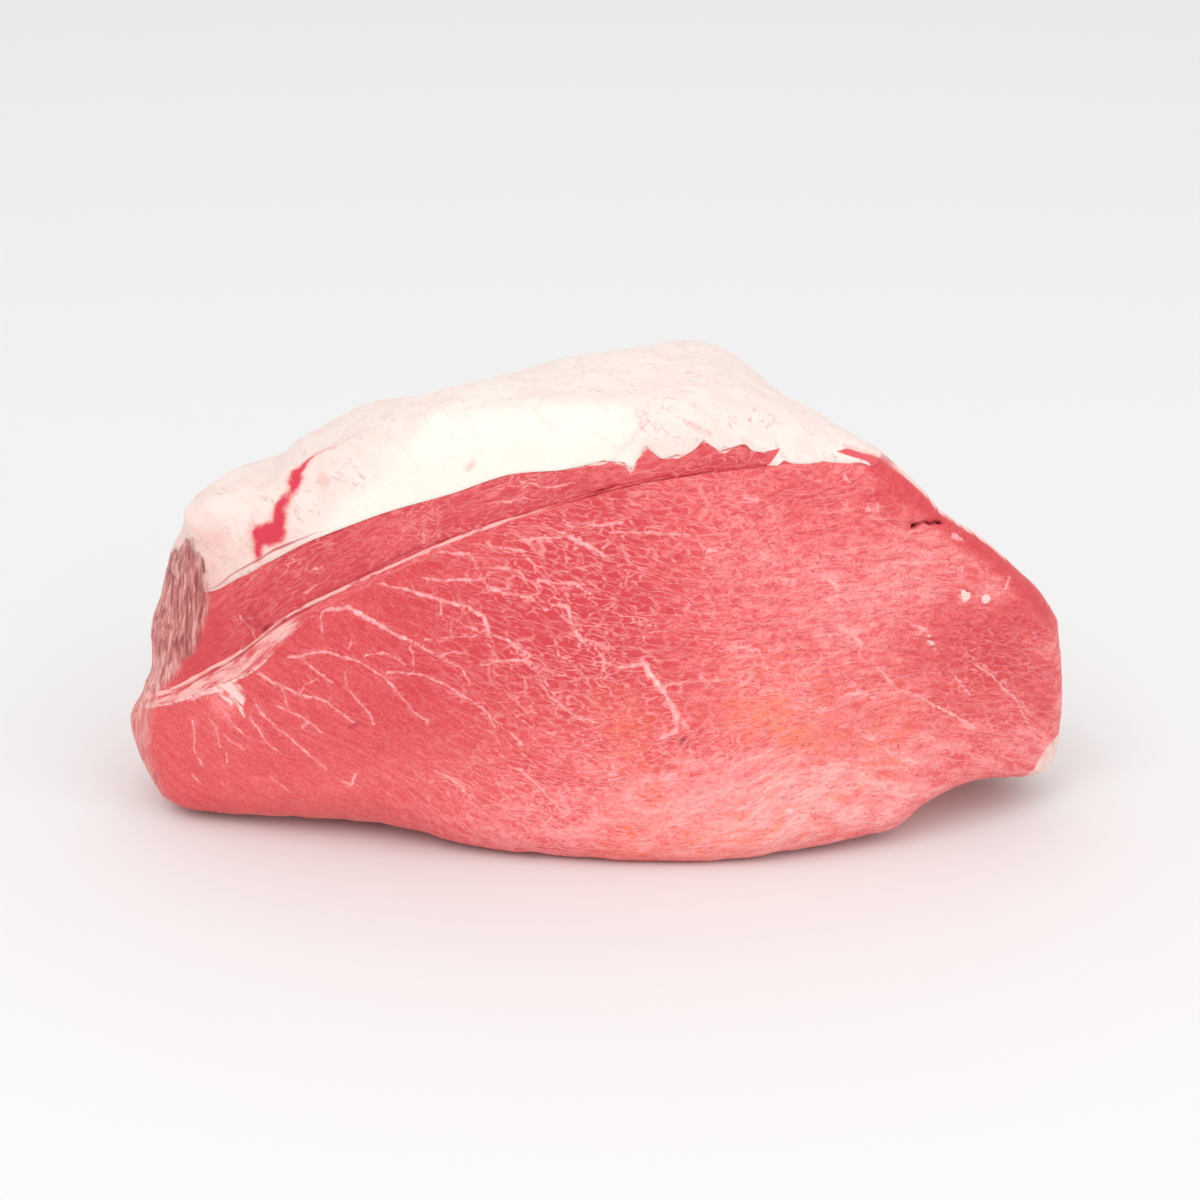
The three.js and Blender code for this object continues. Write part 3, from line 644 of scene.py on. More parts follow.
# slope of the fibres as seen on the face, in its upper and its lower part, and how long they look
grainHigh = [(-131, -0.42), (-70, -0.4), (-45, -0.22), (-12, -0.12), (20, 0.0), (60, 0.05), (90, -0.05),
             (110, -0.3), (133, -0.5)]
grainLow = [(-131, -0.9), (-72, -0.7), (-35, -0.35), (-10, 0.0), (12, 0.14), (42, 0.2), (68, 0.05),
            (95, -0.25), (133, -0.7)]
grainStretch = 0.36


def grainField(piece):
    # grain coordinates in mm: s runs along the fibres seen on the face and is squeezed because they look
    # long, t runs across them and on round the edge of the face; both drift with the depth
    x, z = piece.x, piece.z
    behind = piece.back * along(form["depth"], x)
    knots = np.linspace(-140, 140, 281)
    high, low = [np.cumsum(along(table, knots)) for table in (grainHigh, grainLow)]
    high, low = [np.interp(x, knots, rise) - np.interp(20, knots, rise) for rise in (high, low)]
    spot = np.stack([x, z, piece.points[:, 1] * 0.5], -1)
    t = z - mix(low, high, ease(z, 18, 80)) + 3 * noise(spot, 30, 3, 2) - 0.8 * behind
    s = grainStretch * (x + 0.35 * z) + 1.5 * noise(spot, 30, 7, 2) + 0.1 * behind
    return np.stack([s, t, 0 * s], -1)


def lumps(piece):
    # low swells in mm, the same for every piece, so that neighbours stay flush
    spot = np.stack([piece.x, piece.z, piece.points[:, 1] * 0.5], -1)
    broad = 0.54 * noise(spot, 30, 33, 2) * ease(toLines(piece.x, piece.z, outline), 0, 12)
    return 0.27 * noise(spot, 13, 31, 2) + broad + 0.5 * noise(spot, 6, 36, 3) * (1 - ease(piece.z, 5, 22))


def groove(distance, radius, depth):
    # a soft furrow along a line, deepest on it
    return -depth * np.clip(1 - distance / radius, 0, 1) ** 2


def strokes(x, z, paths, seen, scale=1.0, shake=0.5, seed=40):
    # for each point how deep it lies in the nearest stroke (half width - distance), the offset in mm to that
    # stroke's middle with its half width there, and 0 to 1 how clearly it is nearer than every other stroke
    wobble = np.stack([noise(np.stack([x, z], -1), 6, seed + k, 2) for k in (0, 1)], -1) * shake
    wx, wz = x + wobble[:, 0], z + wobble[:, 1]
    best, second = np.full(x.shape, -3.0), np.full(x.shape, -3.0)
    offset = np.full((len(x), 3), (9.0, 9.0, 0.0))
    for path in paths:
        points, widths = seen(path["at"])[0], np.array(path["half"]) * scale
        share = np.linspace(0, 1, len(points))
        wide = np.interp(share, np.linspace(0, 1, len(widths)), widths)
        deepest, own = np.full(x.shape, -3.0), offset
        for a, b, wa, wb in zip(points[:-1], points[1:], wide[:-1], wide[1:]):
            dx, dz = b - a
            t = np.clip(((wx - a[0]) * dx + (wz - a[1]) * dz) / (dx * dx + dz * dz + 1e-9), 0, 1)
            ox, oz, half = wx - a[0] - t * dx, wz - a[1] - t * dz, wa + (wb - wa) * t
            deep = half - np.hypot(ox, oz)
            own = np.where((deep > deepest)[:, None], np.stack([ox, oz, half], -1), own)
            deepest = np.maximum(deep, deepest)
        closer = deepest > best
        second = np.where(closer, best, np.maximum(second, deepest))
        best = np.maximum(best, deepest)
        offset = np.where(closer[:, None], own, offset)
    return best, offset, ease(best - second, 0.5, 1.6)


# camera, floor and light
ahead, up = lookVectors()
cameraData = bpy.data.cameras.new("camera")
cameraData.lens, cameraData.sensor_width = shot["lens"], shot["sensor"]
cameraData.clip_end = 20
camera = bpy.data.objects.new("camera", cameraData)
camera.location = Vector(np.array(shot["target"]) - ahead * shot["distance"]) * mm
camera.rotation_mode = "QUATERNION"
camera.rotation_quaternion = Vector(ahead).to_track_quat("-Z", "Y")
bpy.context.scene.collection.objects.link(camera)
bpy.context.scene.camera = camera
bpy.context.scene.view_settings.view_transform = "Standard"
bpy.context.scene.view_settings.look = "None"

studio = dict(
    floor="#ececec", sky=0.86,
    lamps=[dict(at=(-0.5, -0.9, 1.25), size=1.0, watts=5.5), dict(at=(0.75, -0.8, 0.8), size=1.0, watts=2.5),
           dict(at=(0.1, 0.5, 1.5), size=1.2, watts=1.5)],
)
floorMesh = bpy.data.meshes.new("floor")
floorMesh.from_pydata([(-6, -6, 0), (6, -6, 0), (6, 6, 0), (-6, 6, 0)], [], [(0, 1, 2, 3)])
floor = bpy.data.objects.new("floor", floorMesh)
bpy.context.scene.collection.objects.link(floor)
floorMaterial, floorTree = newMaterial("matte white paper sweep")
paper = add(floorTree, "BsdfPrincipled", {"Base Color": color(studio["floor"]), "Roughness": 0.9})
add(floorTree, "OutputMaterial", {"Surface": paper})
floorMesh.materials.append(floorMaterial)

world = bpy.data.worlds.new("soft white room")
bpy.context.scene.world = world
world.use_nodes = True
world.node_tree.nodes["Background"].inputs["Color"].default_value = (1, 1, 1, 1)
world.node_tree.nodes["Background"].inputs["Strength"].default_value = studio["sky"]
for number, lamp in enumerate(studio["lamps"]):
    light = bpy.data.lights.new("softLamp%d" % number, "AREA")
    light.size, light.energy = lamp["size"], lamp["watts"]
    holder = bpy.data.objects.new("softLamp%d" % number, light)
    holder.location = lamp["at"]
    holder.rotation_mode = "QUATERNION"
    holder.rotation_quaternion = (Vector((0, 0, 0.06)) - holder.location).to_track_quat("-Z", "Y")
    bpy.context.scene.collection.objects.link(holder)
print("camera, floor and light ready")


# main muscle
mainShape = dict(across=420, up=128, rings=20)  # cells of the mesh
mainLook = dict(
    veins=0.52, rearVeins=0.5,   # the half widths of the veins below are multiplied by this, front and rear
    knots=2.0, nodules=6.0,      # how white the knots and the lumps of fat are
    rim=2.2, sheet=1.7,          # how white the film at the upper right rim and under the seam is
    sides=0.5, fatEnd=3.0,       # how white the film on the sides and at the end of the fat is
    dried=(0.6, 0.85),           # how much the dried skin hides the lean, at its foot and higher up
)
mainTop = chain(seamLower, np.stack([seamLower[-1], fatTail[0]]), fatTail,
                drawn(lines["fatRight"]), drawn(lines["rim"]), drawn(lines["shoulder"]))
mainBottom = chain(drawn(lines["underside"]), drawn(lines["cornerInner"]))
main = Layer(mainBottom, drawn(lines["mainRight"]), mainTop, drawn(lines["mainLeft"]), **mainShape)

# veins of marbling on the face: pixels of the photograph, half widths in mm from start to end
mainVeins = [
    dict(at=[(376, 575), (415, 591), (441, 599), (466, 605), (486, 618), (489, 632)], half=(0.5, 1.0, 0.8)),
    dict(at=[(489, 632), (506, 642), (529, 656)], half=(0.7, 1.1)),
    dict(at=[(441, 599), (439, 615), (453, 633)], half=(0.5, 0.2)),
    dict(at=[(326, 600), (350, 609), (372, 621), (399, 635), (416, 642), (437, 656), (460, 667), (468, 682)],
         half=(1.0, 0.8, 0.3)),
    dict(at=[(323, 602), (321, 617), (323, 633)], half=(0.5, 0.2)),
    dict(at=[(286, 656), (300, 656), (313, 653), (326, 652), (340, 657), (361, 663), (382, 673), (401, 696),
             (409, 709), (428, 723)],
         half=(0.7, 0.6, 0.4)),
    dict(at=[(367, 655), (384, 653), (396, 658), (404, 665)], half=(0.3, 0.35)),
    dict(at=[(389, 673), (401, 672), (420, 673), (441, 684), (470, 700), (489, 713), (494, 726)],
         half=(0.5, 0.6, 0.3)),
    dict(at=[(410, 648), (413, 657), (416, 665)], half=(0.3, 0.35)),
    dict(at=[(258, 673), (271, 681), (300, 694), (326, 702), (338, 711), (354, 723)], half=(0.8, 0.6, 0.4)),
    dict(at=[(279, 684), (288, 704)], half=(0.4, 0.2)),
    dict(at=[(275, 705), (289, 710), (302, 717), (312, 724), (322, 732)], half=(0.3, 0.5, 0.8)),
    dict(at=[(254, 702), (262, 715), (275, 727), (289, 737), (302, 749), (315, 760), (327, 770)],
         half=(0.4, 0.6, 0.3)),
    dict(at=[(249, 719), (259, 730), (267, 742), (277, 750), (285, 757)], half=(0.5, 0.4, 0.2)),
    dict(at=[(225, 714), (235, 727), (247, 737)], half=(0.35, 0.25)),
    dict(at=[(225, 737), (237, 744), (247, 749)], half=(0.3, 0.2)),
    dict(at=[(210, 719), (217, 729), (220, 747)], half=(0.3, 0.25)),
    dict(at=[(192, 720), (194, 734), (193, 749), (202, 764)], half=(0.4, 0.35, 0.2)),
    dict(at=[(227, 749), (227, 762)], half=(0.25, 0.2)),
    dict(at=[(272, 777), (282, 785), (289, 792)], half=(0.3, 0.2)),
    dict(at=[(192, 775), (200, 782)], half=(0.35, 0.2)),
    dict(at=[(306, 720), (301, 726), (308, 733)], half=(0.3, 0.2)),
    dict(at=[(346, 673), (350, 688), (359, 702), (369, 713), (375, 724)], half=(0.3, 0.5)),
    dict(at=[(300, 658), (317, 671), (333, 682)], half=(0.5, 0.6)),
    dict(at=[(422, 578), (441, 580), (483, 579), (489, 587), (508, 592), (531, 598), (546, 612)],
         half=(0.4, 0.9, 0.5)),
    dict(at=[(440, 547), (470, 553), (489, 587)], half=(0.5, 0.4)),
    dict(at=[(425, 641), (441, 637), (460, 637), (479, 636)], half=(0.3, 0.3)),
    dict(at=[(480, 665), (499, 660), (524, 662), (548, 671), (577, 677)], half=(0.4, 0.7, 0.2)),
    dict(at=[(487, 642), (499, 656)], half=(0.3, 0.3)),
    dict(at=[(533, 667), (547, 694), (573, 714), (599, 727)], half=(0.6, 0.7, 0.3)),
    dict(at=[(508, 730), (520, 744)], half=(0.3, 0.6)),
    dict(at=[(553, 605), (566, 607), (573, 620), (577, 631)], half=(0.7, 0.7)),
    dict(at=[(577, 631), (589, 650)], half=(1.3, 0.5)),
    dict(at=[(604, 661), (619, 667), (642, 664)], half=(0.5, 0.8)),
    dict(at=[(644, 662), (652, 678), (665, 694), (677, 714), (676, 730), (664, 737)], half=(1.6, 1.3, 0.8)),
    dict(at=[(671, 700), (687, 726)], half=(0.4, 0.8)),
    dict(at=[(642, 638), (638, 628), (641, 618), (635, 605)], half=(0.3, 0.15)),
    dict(at=[(716, 645), (740, 646), (757, 652), (772, 676)], half=(0.2, 0.7, 0.2)),
    dict(at=[(665, 684), (700, 680), (732, 681), (770, 689), (802, 703), (822, 713)], half=(0.4, 0.4, 0.2)),
    dict(at=[(568, 523), (599, 525), (622, 523)], half=(0.3, 0.5)),
    dict(at=[(609, 533), (650, 533), (691, 535)], half=(0.5, 0.6)),
    dict(at=[(571, 537), (590, 548), (612, 560)], half=(1.3, 0.6)),
    dict(at=[(527, 541), (566, 537)], half=(0.6, 0.5)),
    dict(at=[(484, 547), (522, 551), (535, 566), (538, 582)], half=(0.5, 0.4)),
    dict(at=[(538, 580), (573, 584), (594, 597)], half=(0.8, 0.3)),
    dict(at=[(437, 770), (457, 783), (471, 798)], half=(0.4, 0.9, 0.3)),
    dict(at=[(340, 781), (351, 786), (356, 775)], half=(0.5, 0.6)),
    dict(at=[(604, 775), (616, 772), (612, 762)], half=(0.4, 0.6)),
    dict(at=[(706, 824), (722, 822), (736, 825)], half=(0.5, 0.8, 0.3)),
    dict(at=[(838, 626), (850, 634), (863, 644), (860, 655)], half=(0.8, 0.5)),
    dict(at=[(876, 667), (899, 690), (922, 695), (950, 713), (973, 728)], half=(0.4, 0.6, 0.8)),
    dict(at=[(973, 662), (993, 677), (1014, 700), (1029, 725)], half=(0.3, 0.7, 0.3)),
    dict(at=[(955, 677), (970, 695)], half=(0.5, 0.5)),
    dict(at=[(925, 630), (919, 634)], half=(0.8, 0.2)),
    dict(at=[(996, 597), (1004, 590), (1010, 578)], half=(0.5, 0.7, 0.5)),
    dict(at=[(829, 580), (835, 585), (836, 598)], half=(1.1, 0.7)),
    dict(at=[(808, 570), (818, 567)], half=(0.8, 0.3)),
    dict(at=[(884, 748), (894, 757)], half=(0.7, 0.9)),
    dict(at=[(953, 535), (960, 538)], half=(1.0, 0.8)),
    dict(at=[(868, 510), (876, 512), (879, 503)], half=(0.8, 0.5)),
    dict(at=[(843, 475), (850, 482)], half=(0.9, 0.6)),
    dict(at=[(745, 498), (756, 501)], half=(0.8, 0.8)),
    dict(at=[(708, 552), (714, 550)], half=(0.9, 0.6)),
    dict(at=[(188, 702), (203, 694), (220, 689)], half=(0.3, 0.9, 1.4)),
    dict(at=[(196, 694), (208, 687), (222, 683)], half=(0.2, 0.7, 0.9)),
    dict(at=[(786, 811), (792, 811)], half=(1.4, 1.2)),
    dict(at=[(838, 700), (849, 694), (862, 692), (884, 702)], half=(0.3, 0.9, 0.8, 0.2)),
    dict(at=[(862, 692), (876, 690), (890, 688)], half=(0.8, 0.6, 0.2)),
    dict(at=[(906, 622), (915, 626), (925, 630)], half=(0.2, 0.5, 0.8)),
    dict(at=[(520, 770), (545, 790)], half=(0.3, 0.6)),
    dict(at=[(592, 640), (604, 661), (600, 676)], half=(0.3, 0.9, 0.3)),
    dict(at=[(700, 676), (709, 684)], half=(0.9, 0.4)),
    dict(at=[(497, 566), (520, 570), (528, 586)], half=(0.4, 0.6, 0.2)),
    dict(at=[(455, 620), (470, 626), (489, 632)], half=(0.3, 0.5, 0.4)),
    dict(at=[(553, 640), (560, 655), (575, 660)], half=(0.2, 0.5, 0.3)),
    dict(at=[(630, 618), (644, 622), (655, 619)], half=(0.2, 0.6, 0.2)),
    dict(at=[(353, 639), (349, 648)], half=(0.3, 0.3)),
    dict(at=[(300, 694), (306, 684), (318, 680)], half=(0.4, 0.3, 0.1)),
    dict(at=[(437, 656), (452, 652), (466, 655)], half=(0.3, 0.4, 0.1)),
    dict(at=[(853, 682), (862, 692)], half=(0.3, 0.7)),
    dict(at=[(802, 674), (812, 687)], half=(0.4, 0.3)),
]
# knots of white tissue on the face, as above
mainWhites = [
    dict(at=[(214, 689), (226, 691), (238, 701), (246, 716)], half=(0.3, 1.5, 1.2, 0.1)),
    dict(at=[(222, 682), (236, 690), (242, 702)], half=(0.2, 1.2, 0.3)),
    dict(at=[(217, 695), (228, 701), (231, 709)], half=(0.2, 0.7, -0.1)),
    dict(at=[(190, 701), (204, 694), (220, 689)], half=(-0.2, 0.2, 0.6)),
    dict(at=[(926, 632), (929, 640), (934, 647)], half=(0.0, 0.7, 0.2)),
    dict(at=[(787, 811), (791, 811)], half=(0.3, 0.3)),
]
# small round lumps of fat on the face, as above
mainNodules = [
    dict(at=[(962, 592), (967, 596)], half=(1.0, 1.1)),
    dict(at=[(983, 600), (986, 600)], half=(0.8, 0.9)),
]
# creases and pits pressed into the face, as above, with a depth in mm and a darkness of painted shade
mainFolds = [
    dict(at=[(915, 526), (919, 525), (926, 522), (931, 524), (937, 521), (944, 521)],
         half=(0.35, 0.1, -0.05, 0.15, 0.1, 0.25), deep=2.0, dark=1.0),
    dict(at=[(893, 524), (904, 522), (916, 523)], half=(-0.3, 0.0), deep=0.6, dark=0.5),
    dict(at=[(751, 498), (784, 511), (797, 524)], half=(-0.3, 0.0, -0.3), deep=0.3, dark=0.35),
    dict(at=[(800, 486), (828, 498), (848, 510)], half=(-0.3, 0.0, -0.3), deep=0.3, dark=0.25),
    dict(at=[(668, 738), (683, 741), (695, 745)], half=(-0.2, 0.3, -0.2), deep=0.3, dark=0.6),
    dict(at=[(676, 733), (682, 742), (684, 752)], half=(-0.3, 0.1, -0.3), deep=0.2, dark=0.5),
    dict(at=[(349, 728), (359, 724)], half=(0.3, 0.0), deep=0.6, dark=0.5),
    dict(at=[(764, 798), (784, 797), (802, 799)], half=(-0.3, 0.1, -0.3), deep=0.3, dark=0.4),
    dict(at=[(812, 812), (824, 818), (838, 820)], half=(-0.3, 0.1, -0.3), deep=0.3, dark=0.35),
    dict(at=[(741, 596), (770, 604), (786, 607)], half=(-0.3, 0.1, -0.3), deep=0.3, dark=0.3),
    dict(at=[(862, 725), (880, 738), (900, 752)], half=(-0.3, 0.1, -0.3), deep=0.3, dark=0.3),
    dict(at=[(697, 815), (690, 828)], half=(0.0, -0.3), deep=0.3, dark=0.4),
    dict(at=[(612, 700), (628, 706)], half=(-0.3, 0.0), deep=0.3, dark=0.3),
]
# broad patches: pixel, radius in mm, strength
mainTones = [(995, 655, 17, -0.45), (930, 640, 12, -0.2), (560, 628, 20, -0.28), (560, 724, 12, 0.22),
             (800, 590, 26, 0.06), (700, 790, 30, 0.05), (330, 790, 16, 0.1), (590, 560, 12, -0.2),
             (880, 590, 20, 0.08), (820, 480, 16, -0.3), (900, 490, 12, -0.55), (1005, 585, 8, 0.45),
             (1045, 640, 8, 0.3), (222, 702, 5, 0.5)]
mainOranges = [(800, 715, 17, 0.6), (905, 720, 14, 0.5), (750, 700, 14, 0.4), (620, 715, 14, 0.4),
               (620, 770, 16, 0.25), (860, 790, 16, 0.35), (460, 760, 16, 0.25), (520, 690, 12, 0.25),
               (700, 850, 20, 0.6), (620, 845, 14, 0.4), (790, 830, 12, 0.4), (330, 790, 14, 0.3),
               (980, 690, 12, 0.25)]


# the dried skin of the left end: its right edge and its upper edge in pixels of the photograph
dryRight = [(537, 194), (550, 197), (558, 202), (578, 205), (594, 210), (610, 208), (623, 204), (638, 201),
            (655, 190), (672, 178), (690, 164), (704, 156), (716, 152), (735, 150), (752, 151), (770, 157),
            (792, 166), (812, 178)]
dryTop = [(140, 606), (150, 590), (165, 566), (170, 558), (180, 545), (194, 537), (215, 537)]


def driedSkin(piece):
    # 1 left of one edge and under the other, fading out round the back of the joint
    px, py = (photoPixel(piece.points) + 5 * noise(piece.points, 4, 120, 3)[:, None]).T
    right, top = np.interp(py, *np.array(dryRight, float).T), np.interp(px, *np.array(dryTop, float).T)
    inFront = ease(right - px, -5, 7)
    around = ease(piece.back, 0.05, 0.12) * (1 - ease(toLines(piece.x, piece.z, outline), 0.5, 3))
    covered = np.maximum(inFront, around) * ease(py - top, -2, 2) * (piece.x < -88) * (piece.z < 86)
    foot = 0.7 * (1 - ease(piece.z, 20, 34)) * (1 - inFront)
    return covered * (1 - ease(piece.back, 0.45, 0.85)) * (1 - foot)


def driedFields(piece, dry):
    # how pale the dried skin is, darkest at its upper point, and its wrinkles in mm, the same for all pieces
    spot = piece.points
    age = 0.07 * noise(spot, 9, 130, 2) - 0.1 * ease(piece.z, 62, 84) + 0.1 * (1 - ease(piece.z, 30, 52))
    wrinkles = noise(spot * np.array([0.35, 0.5, 0.3]), 2.4, 51, 3)
    return age, dry * (0.55 * wrinkles + 0.3 * noise(spot * np.array([1, 1, 0.4]), 5, 131, 2))


def patches(piece, marks):
    # sum of soft round patches
    total = np.zeros(len(piece.x))
    for px, py, radius, strength in marks:
        (cx, cz), = piece.seenAt([(px, py)])[0]
        total += strength * np.exp(-((piece.x - cx) ** 2 + (piece.z - cz) ** 2) / radius ** 2)
    return total


def foldFields(piece, folds, fade):
    # depth in mm and painted shade of the listed creases
    deep, dark = np.zeros(len(piece.x)), np.zeros(len(piece.x))
    for shadedFold in folds:
        inside = strokes(piece.x, piece.z, [shadedFold], piece.seenAt, 1, 0.5, 60)[0]
        strength = ease(inside, -0.9, 0.5) * fade
        deep = np.minimum(deep, -shadedFold["deep"] * strength)
        dark = np.maximum(dark, shadedFold["dark"] * ease(inside, -0.55, 0.2) * fade)
    return deep, dark


def mainFields(piece):
    # relief in mm and what the meat material reads, from soft steps in x and z, noise and the marks above
    x, z, y = piece.x, piece.z, piece.points[:, 1]
    spot = np.stack([x, z, y * 0.5], -1)
    grain = grainField(piece)
    s, t = grain[:, 0], grain[:, 1]
    toOutline = toLines(x, z, outline)
    toSeam = toLines(x, z, mainTop)
    face = 1 - ease(piece.back, 0.05, 0.3)
    rear = ease(piece.back, 0.7, 0.95)
    wall = (1 - ease(toOutline, 0.5, 3.0)) * (1 - face * (1 - ease(piece.back, 0.0, 0.12)))

    tone = (0.10 + 0.5 * ease(x, -5, 50) * (1 - 0.45 * ease(x, 85, 112))
            + 0.16 * ease(x, 45, 80) * ease(z, 50, 85)
            + 0.57 * (1 - ease(z, 14, 46)) * ease(x, -80, -10) * (1 - 0.6 * ease(x, 60, 100))
            + 0.22 * (1 - ease(z, 25, 60)) * ease(-x, 20, 110))
    tone = tone + patches(piece, mainTones) * (0.3 + 0.7 * face) + 0.16 * noise(spot, 22, 5, 3)
    blotches = noise(np.stack([1.4 * s, t], -1), 3.6, 15, 2) * (1 - ease(z, 30, 60)) * ease(x, -40, 5)
    tone = tone + 0.4 * blotches - 0.3 * (1 - ease(z, 0, 9)) * ease(x, -40, 5)
    rimBand = (1 - ease(toOutline, 2.5, 7)) * ease(x, 66, 78) * ease(z, 48, 60)
    tone = mix(tone, 0.0, 0.9 * rimBand)
    warm = np.clip(patches(piece, mainOranges) * (0.8 + 0.5 * noise(spot, 9, 8, 2)), 0, 0.75)
    warm = warm * (0.35 + 0.65 * face)

    vein, offset, clear = strokes(x, z, mainVeins, piece.seenAt, mainLook["veins"])
    bentX, bentZ = x * 0.97 - 3 * np.sin(z / 17), z + 3 * np.sin(x / 23) + 2
    behind, rearOffset, rearClear = strokes(bentX, bentZ, mainVeins[::2], piece.seenAt,
                                            mainLook["rearVeins"], 2.2, 70)
    vein = np.maximum(mix(-3.0, vein, face), mix(-3.0, behind, rear))
    offset = np.where((rear > 0.5)[:, None], rearOffset, offset)
    clear = np.where(rear > 0.5, rearClear, clear)
    deep, dark = foldFields(piece, mainFolds, face)

    patchy = ease(noise(spot, 16, 14, 2), -0.4, 0.4)
    low = (1 - ease(z, 16, 44)) * ease(x, -95, -45)
    fatty = 0.17 + 0.75 * ease(x, -60, -12) * (0.6 + 0.4 * patchy) - 0.3 * ease(x, 35, 75)
    fatty = fatty * (1 - 0.9 * rimBand) + 0.3 * low + 0.3 * ease(vein, -2.2, -0.4)
    fibre = (0.14 + 0.25 * ease(x, -50, -5) + 0.5 * ease(x, -5, 50) + 0.2 * low) * (1 - 0.8 * rimBand)
    fibre = fibre * (1 - 0.4 * (1 - ease(z, 24, 46)) * ease(x, 0, 40))
    strand = np.abs(noise(np.stack([s, t], -1), 3.6, 11, 2))
    crease = (1 - ease(strand, 0.02, 0.2)) * (0.3 + 0.7 * patchy) * (1 - 0.85 * rimBand)
    uneven = 0.25 + 0.75 * ease(noise(piece.points, 22, 17, 3), -0.3, 0.4)
    film = mainLook["sides"] * ease(wall, 0.1, 1.0) * uneven
    rim = (1 - ease(toOutline, 0.3, 1.1)) * ease(x, 76, 84) * ease(z, 70, 84)
    sheet = (1 - ease(toSeam + 0.6 * noise(spot, 3, 37, 3), 0.1, 0.9)) * (1 - ease(x, -94, -84))
    knots = strokes(x, z, mainWhites, piece.seenAt, 1, 0.8, 38)[0]
    nodules = strokes(x, z, mainNodules, piece.seenAt, 1, 0.8, 42)[0]
    fatEnd = toLines(x, z, drawn(lines["fatRight"])) + 4 * noise(piece.points, 8, 39, 3)
    film = np.max([film, mainLook["rim"] * rim, mainLook["sheet"] * sheet * (1 - wall),
                   mainLook["knots"] * ease(knots, -0.4, 0.5) * face,
                   mainLook["nodules"] * ease(nodules, -0.5, 0.9) * face,
                   mainLook["fatEnd"] * (1 - ease(fatEnd, 0.5, 3.5)) * ease(piece.back, 0.08, 0.2)], axis=0)
    dry = mix(*mainLook["dried"], ease(z, 20, 42)) * driedSkin(piece)
    age, wrinkles = driedFields(piece, dry)

    ridges = 0.14 * noise(np.stack([s, t], -1), 2.2, 35, 2)
    relief = (lumps(piece) + ridges - 0.16 * crease * fibre * ease(z, 20, 45) + 0.1 * ease(vein, -0.4, 0.4)
              + 0.25 * ease(knots, -0.5, 0.5) + 0.3 * ease(nodules, -0.8, 0.6) + deep) * (1 - dry) + wrinkles
    return relief, dict(grain=grain, tone=tone, warm=warm, vein=vein, clear=clear, offset=offset, shadedFold=dark,
                        fatty=fatty, fibre=fibre, film=film, dry=np.clip(dry, 0, 1), age=age)


leanMeat = meatMaterial("moist cut raw beef muscle", meatLook)
makePiece("mainMuscle", main, *mainFields(main), leanMeat, "lean_meat", "main_muscle")


# cap muscle
capShape = dict(across=300, up=44, rings=44)
capLook = dict(meatLook, dark="#d3474d", middle="#e25c5f", pale="#f48f8f", web=(3.2, 0.35, 0.07, 0.6))
cap = Layer(seamUpper, capRight, fatUnder, drawn(lines["capLeft"]), **capShape)
capVeins = [
    dict(at=[(304, 594), (317, 585)], half=(0.8, 0.4)),
    dict(at=[(311, 570), (320, 566)], half=(0.5, 0.5)),
    dict(at=[(240, 616), (243, 628)], half=(0.4, 0.3)),
    dict(at=[(480, 505), (500, 500), (520, 500)], half=(0.2, 0.4)),
    dict(at=[(520, 482), (545, 489), (575, 484)], half=(0.3, 0.4)),
]
# creases pressed into the cap muscle: pixels of the photograph, half widths and depth in mm, and a darkness of
# painted shade
capFolds = [
    dict(at=[(264, 631), (269, 629)], half=(-0.1, 0.15), deep=0.7, dark=0.85),
    dict(at=[(240, 612), (247, 622), (253, 630)], half=(0.1, 0.3, 0.2), deep=0.3, dark=0.35),
    dict(at=[(250, 607), (256, 617), (262, 627)], half=(0.1, 0.25, 0.2), deep=0.3, dark=0.35),
    dict(at=[(300, 606), (345, 580), (400, 555), (450, 534)], half=(0.1, 0.3), deep=0.4, dark=0.25),
    dict(at=[(577, 497), (615, 485), (661, 476), (699, 466), (745, 463)], half=(-0.2, 0.1), deep=0.3, dark=0.2),
    dict(at=[(520, 505), (560, 497), (600, 490)], half=(-0.2, 0.0), deep=0.2, dark=0.25),
]
capBrowns = [(330, 580, 18, -0.25), (262, 612, 9, -0.45), (420, 530, 14, -0.1), (250, 580, 10, 0.2),
             (640, 465, 12, 0.2), (400, 550, 12, 0.25), (200, 655, 10, -0.3)]


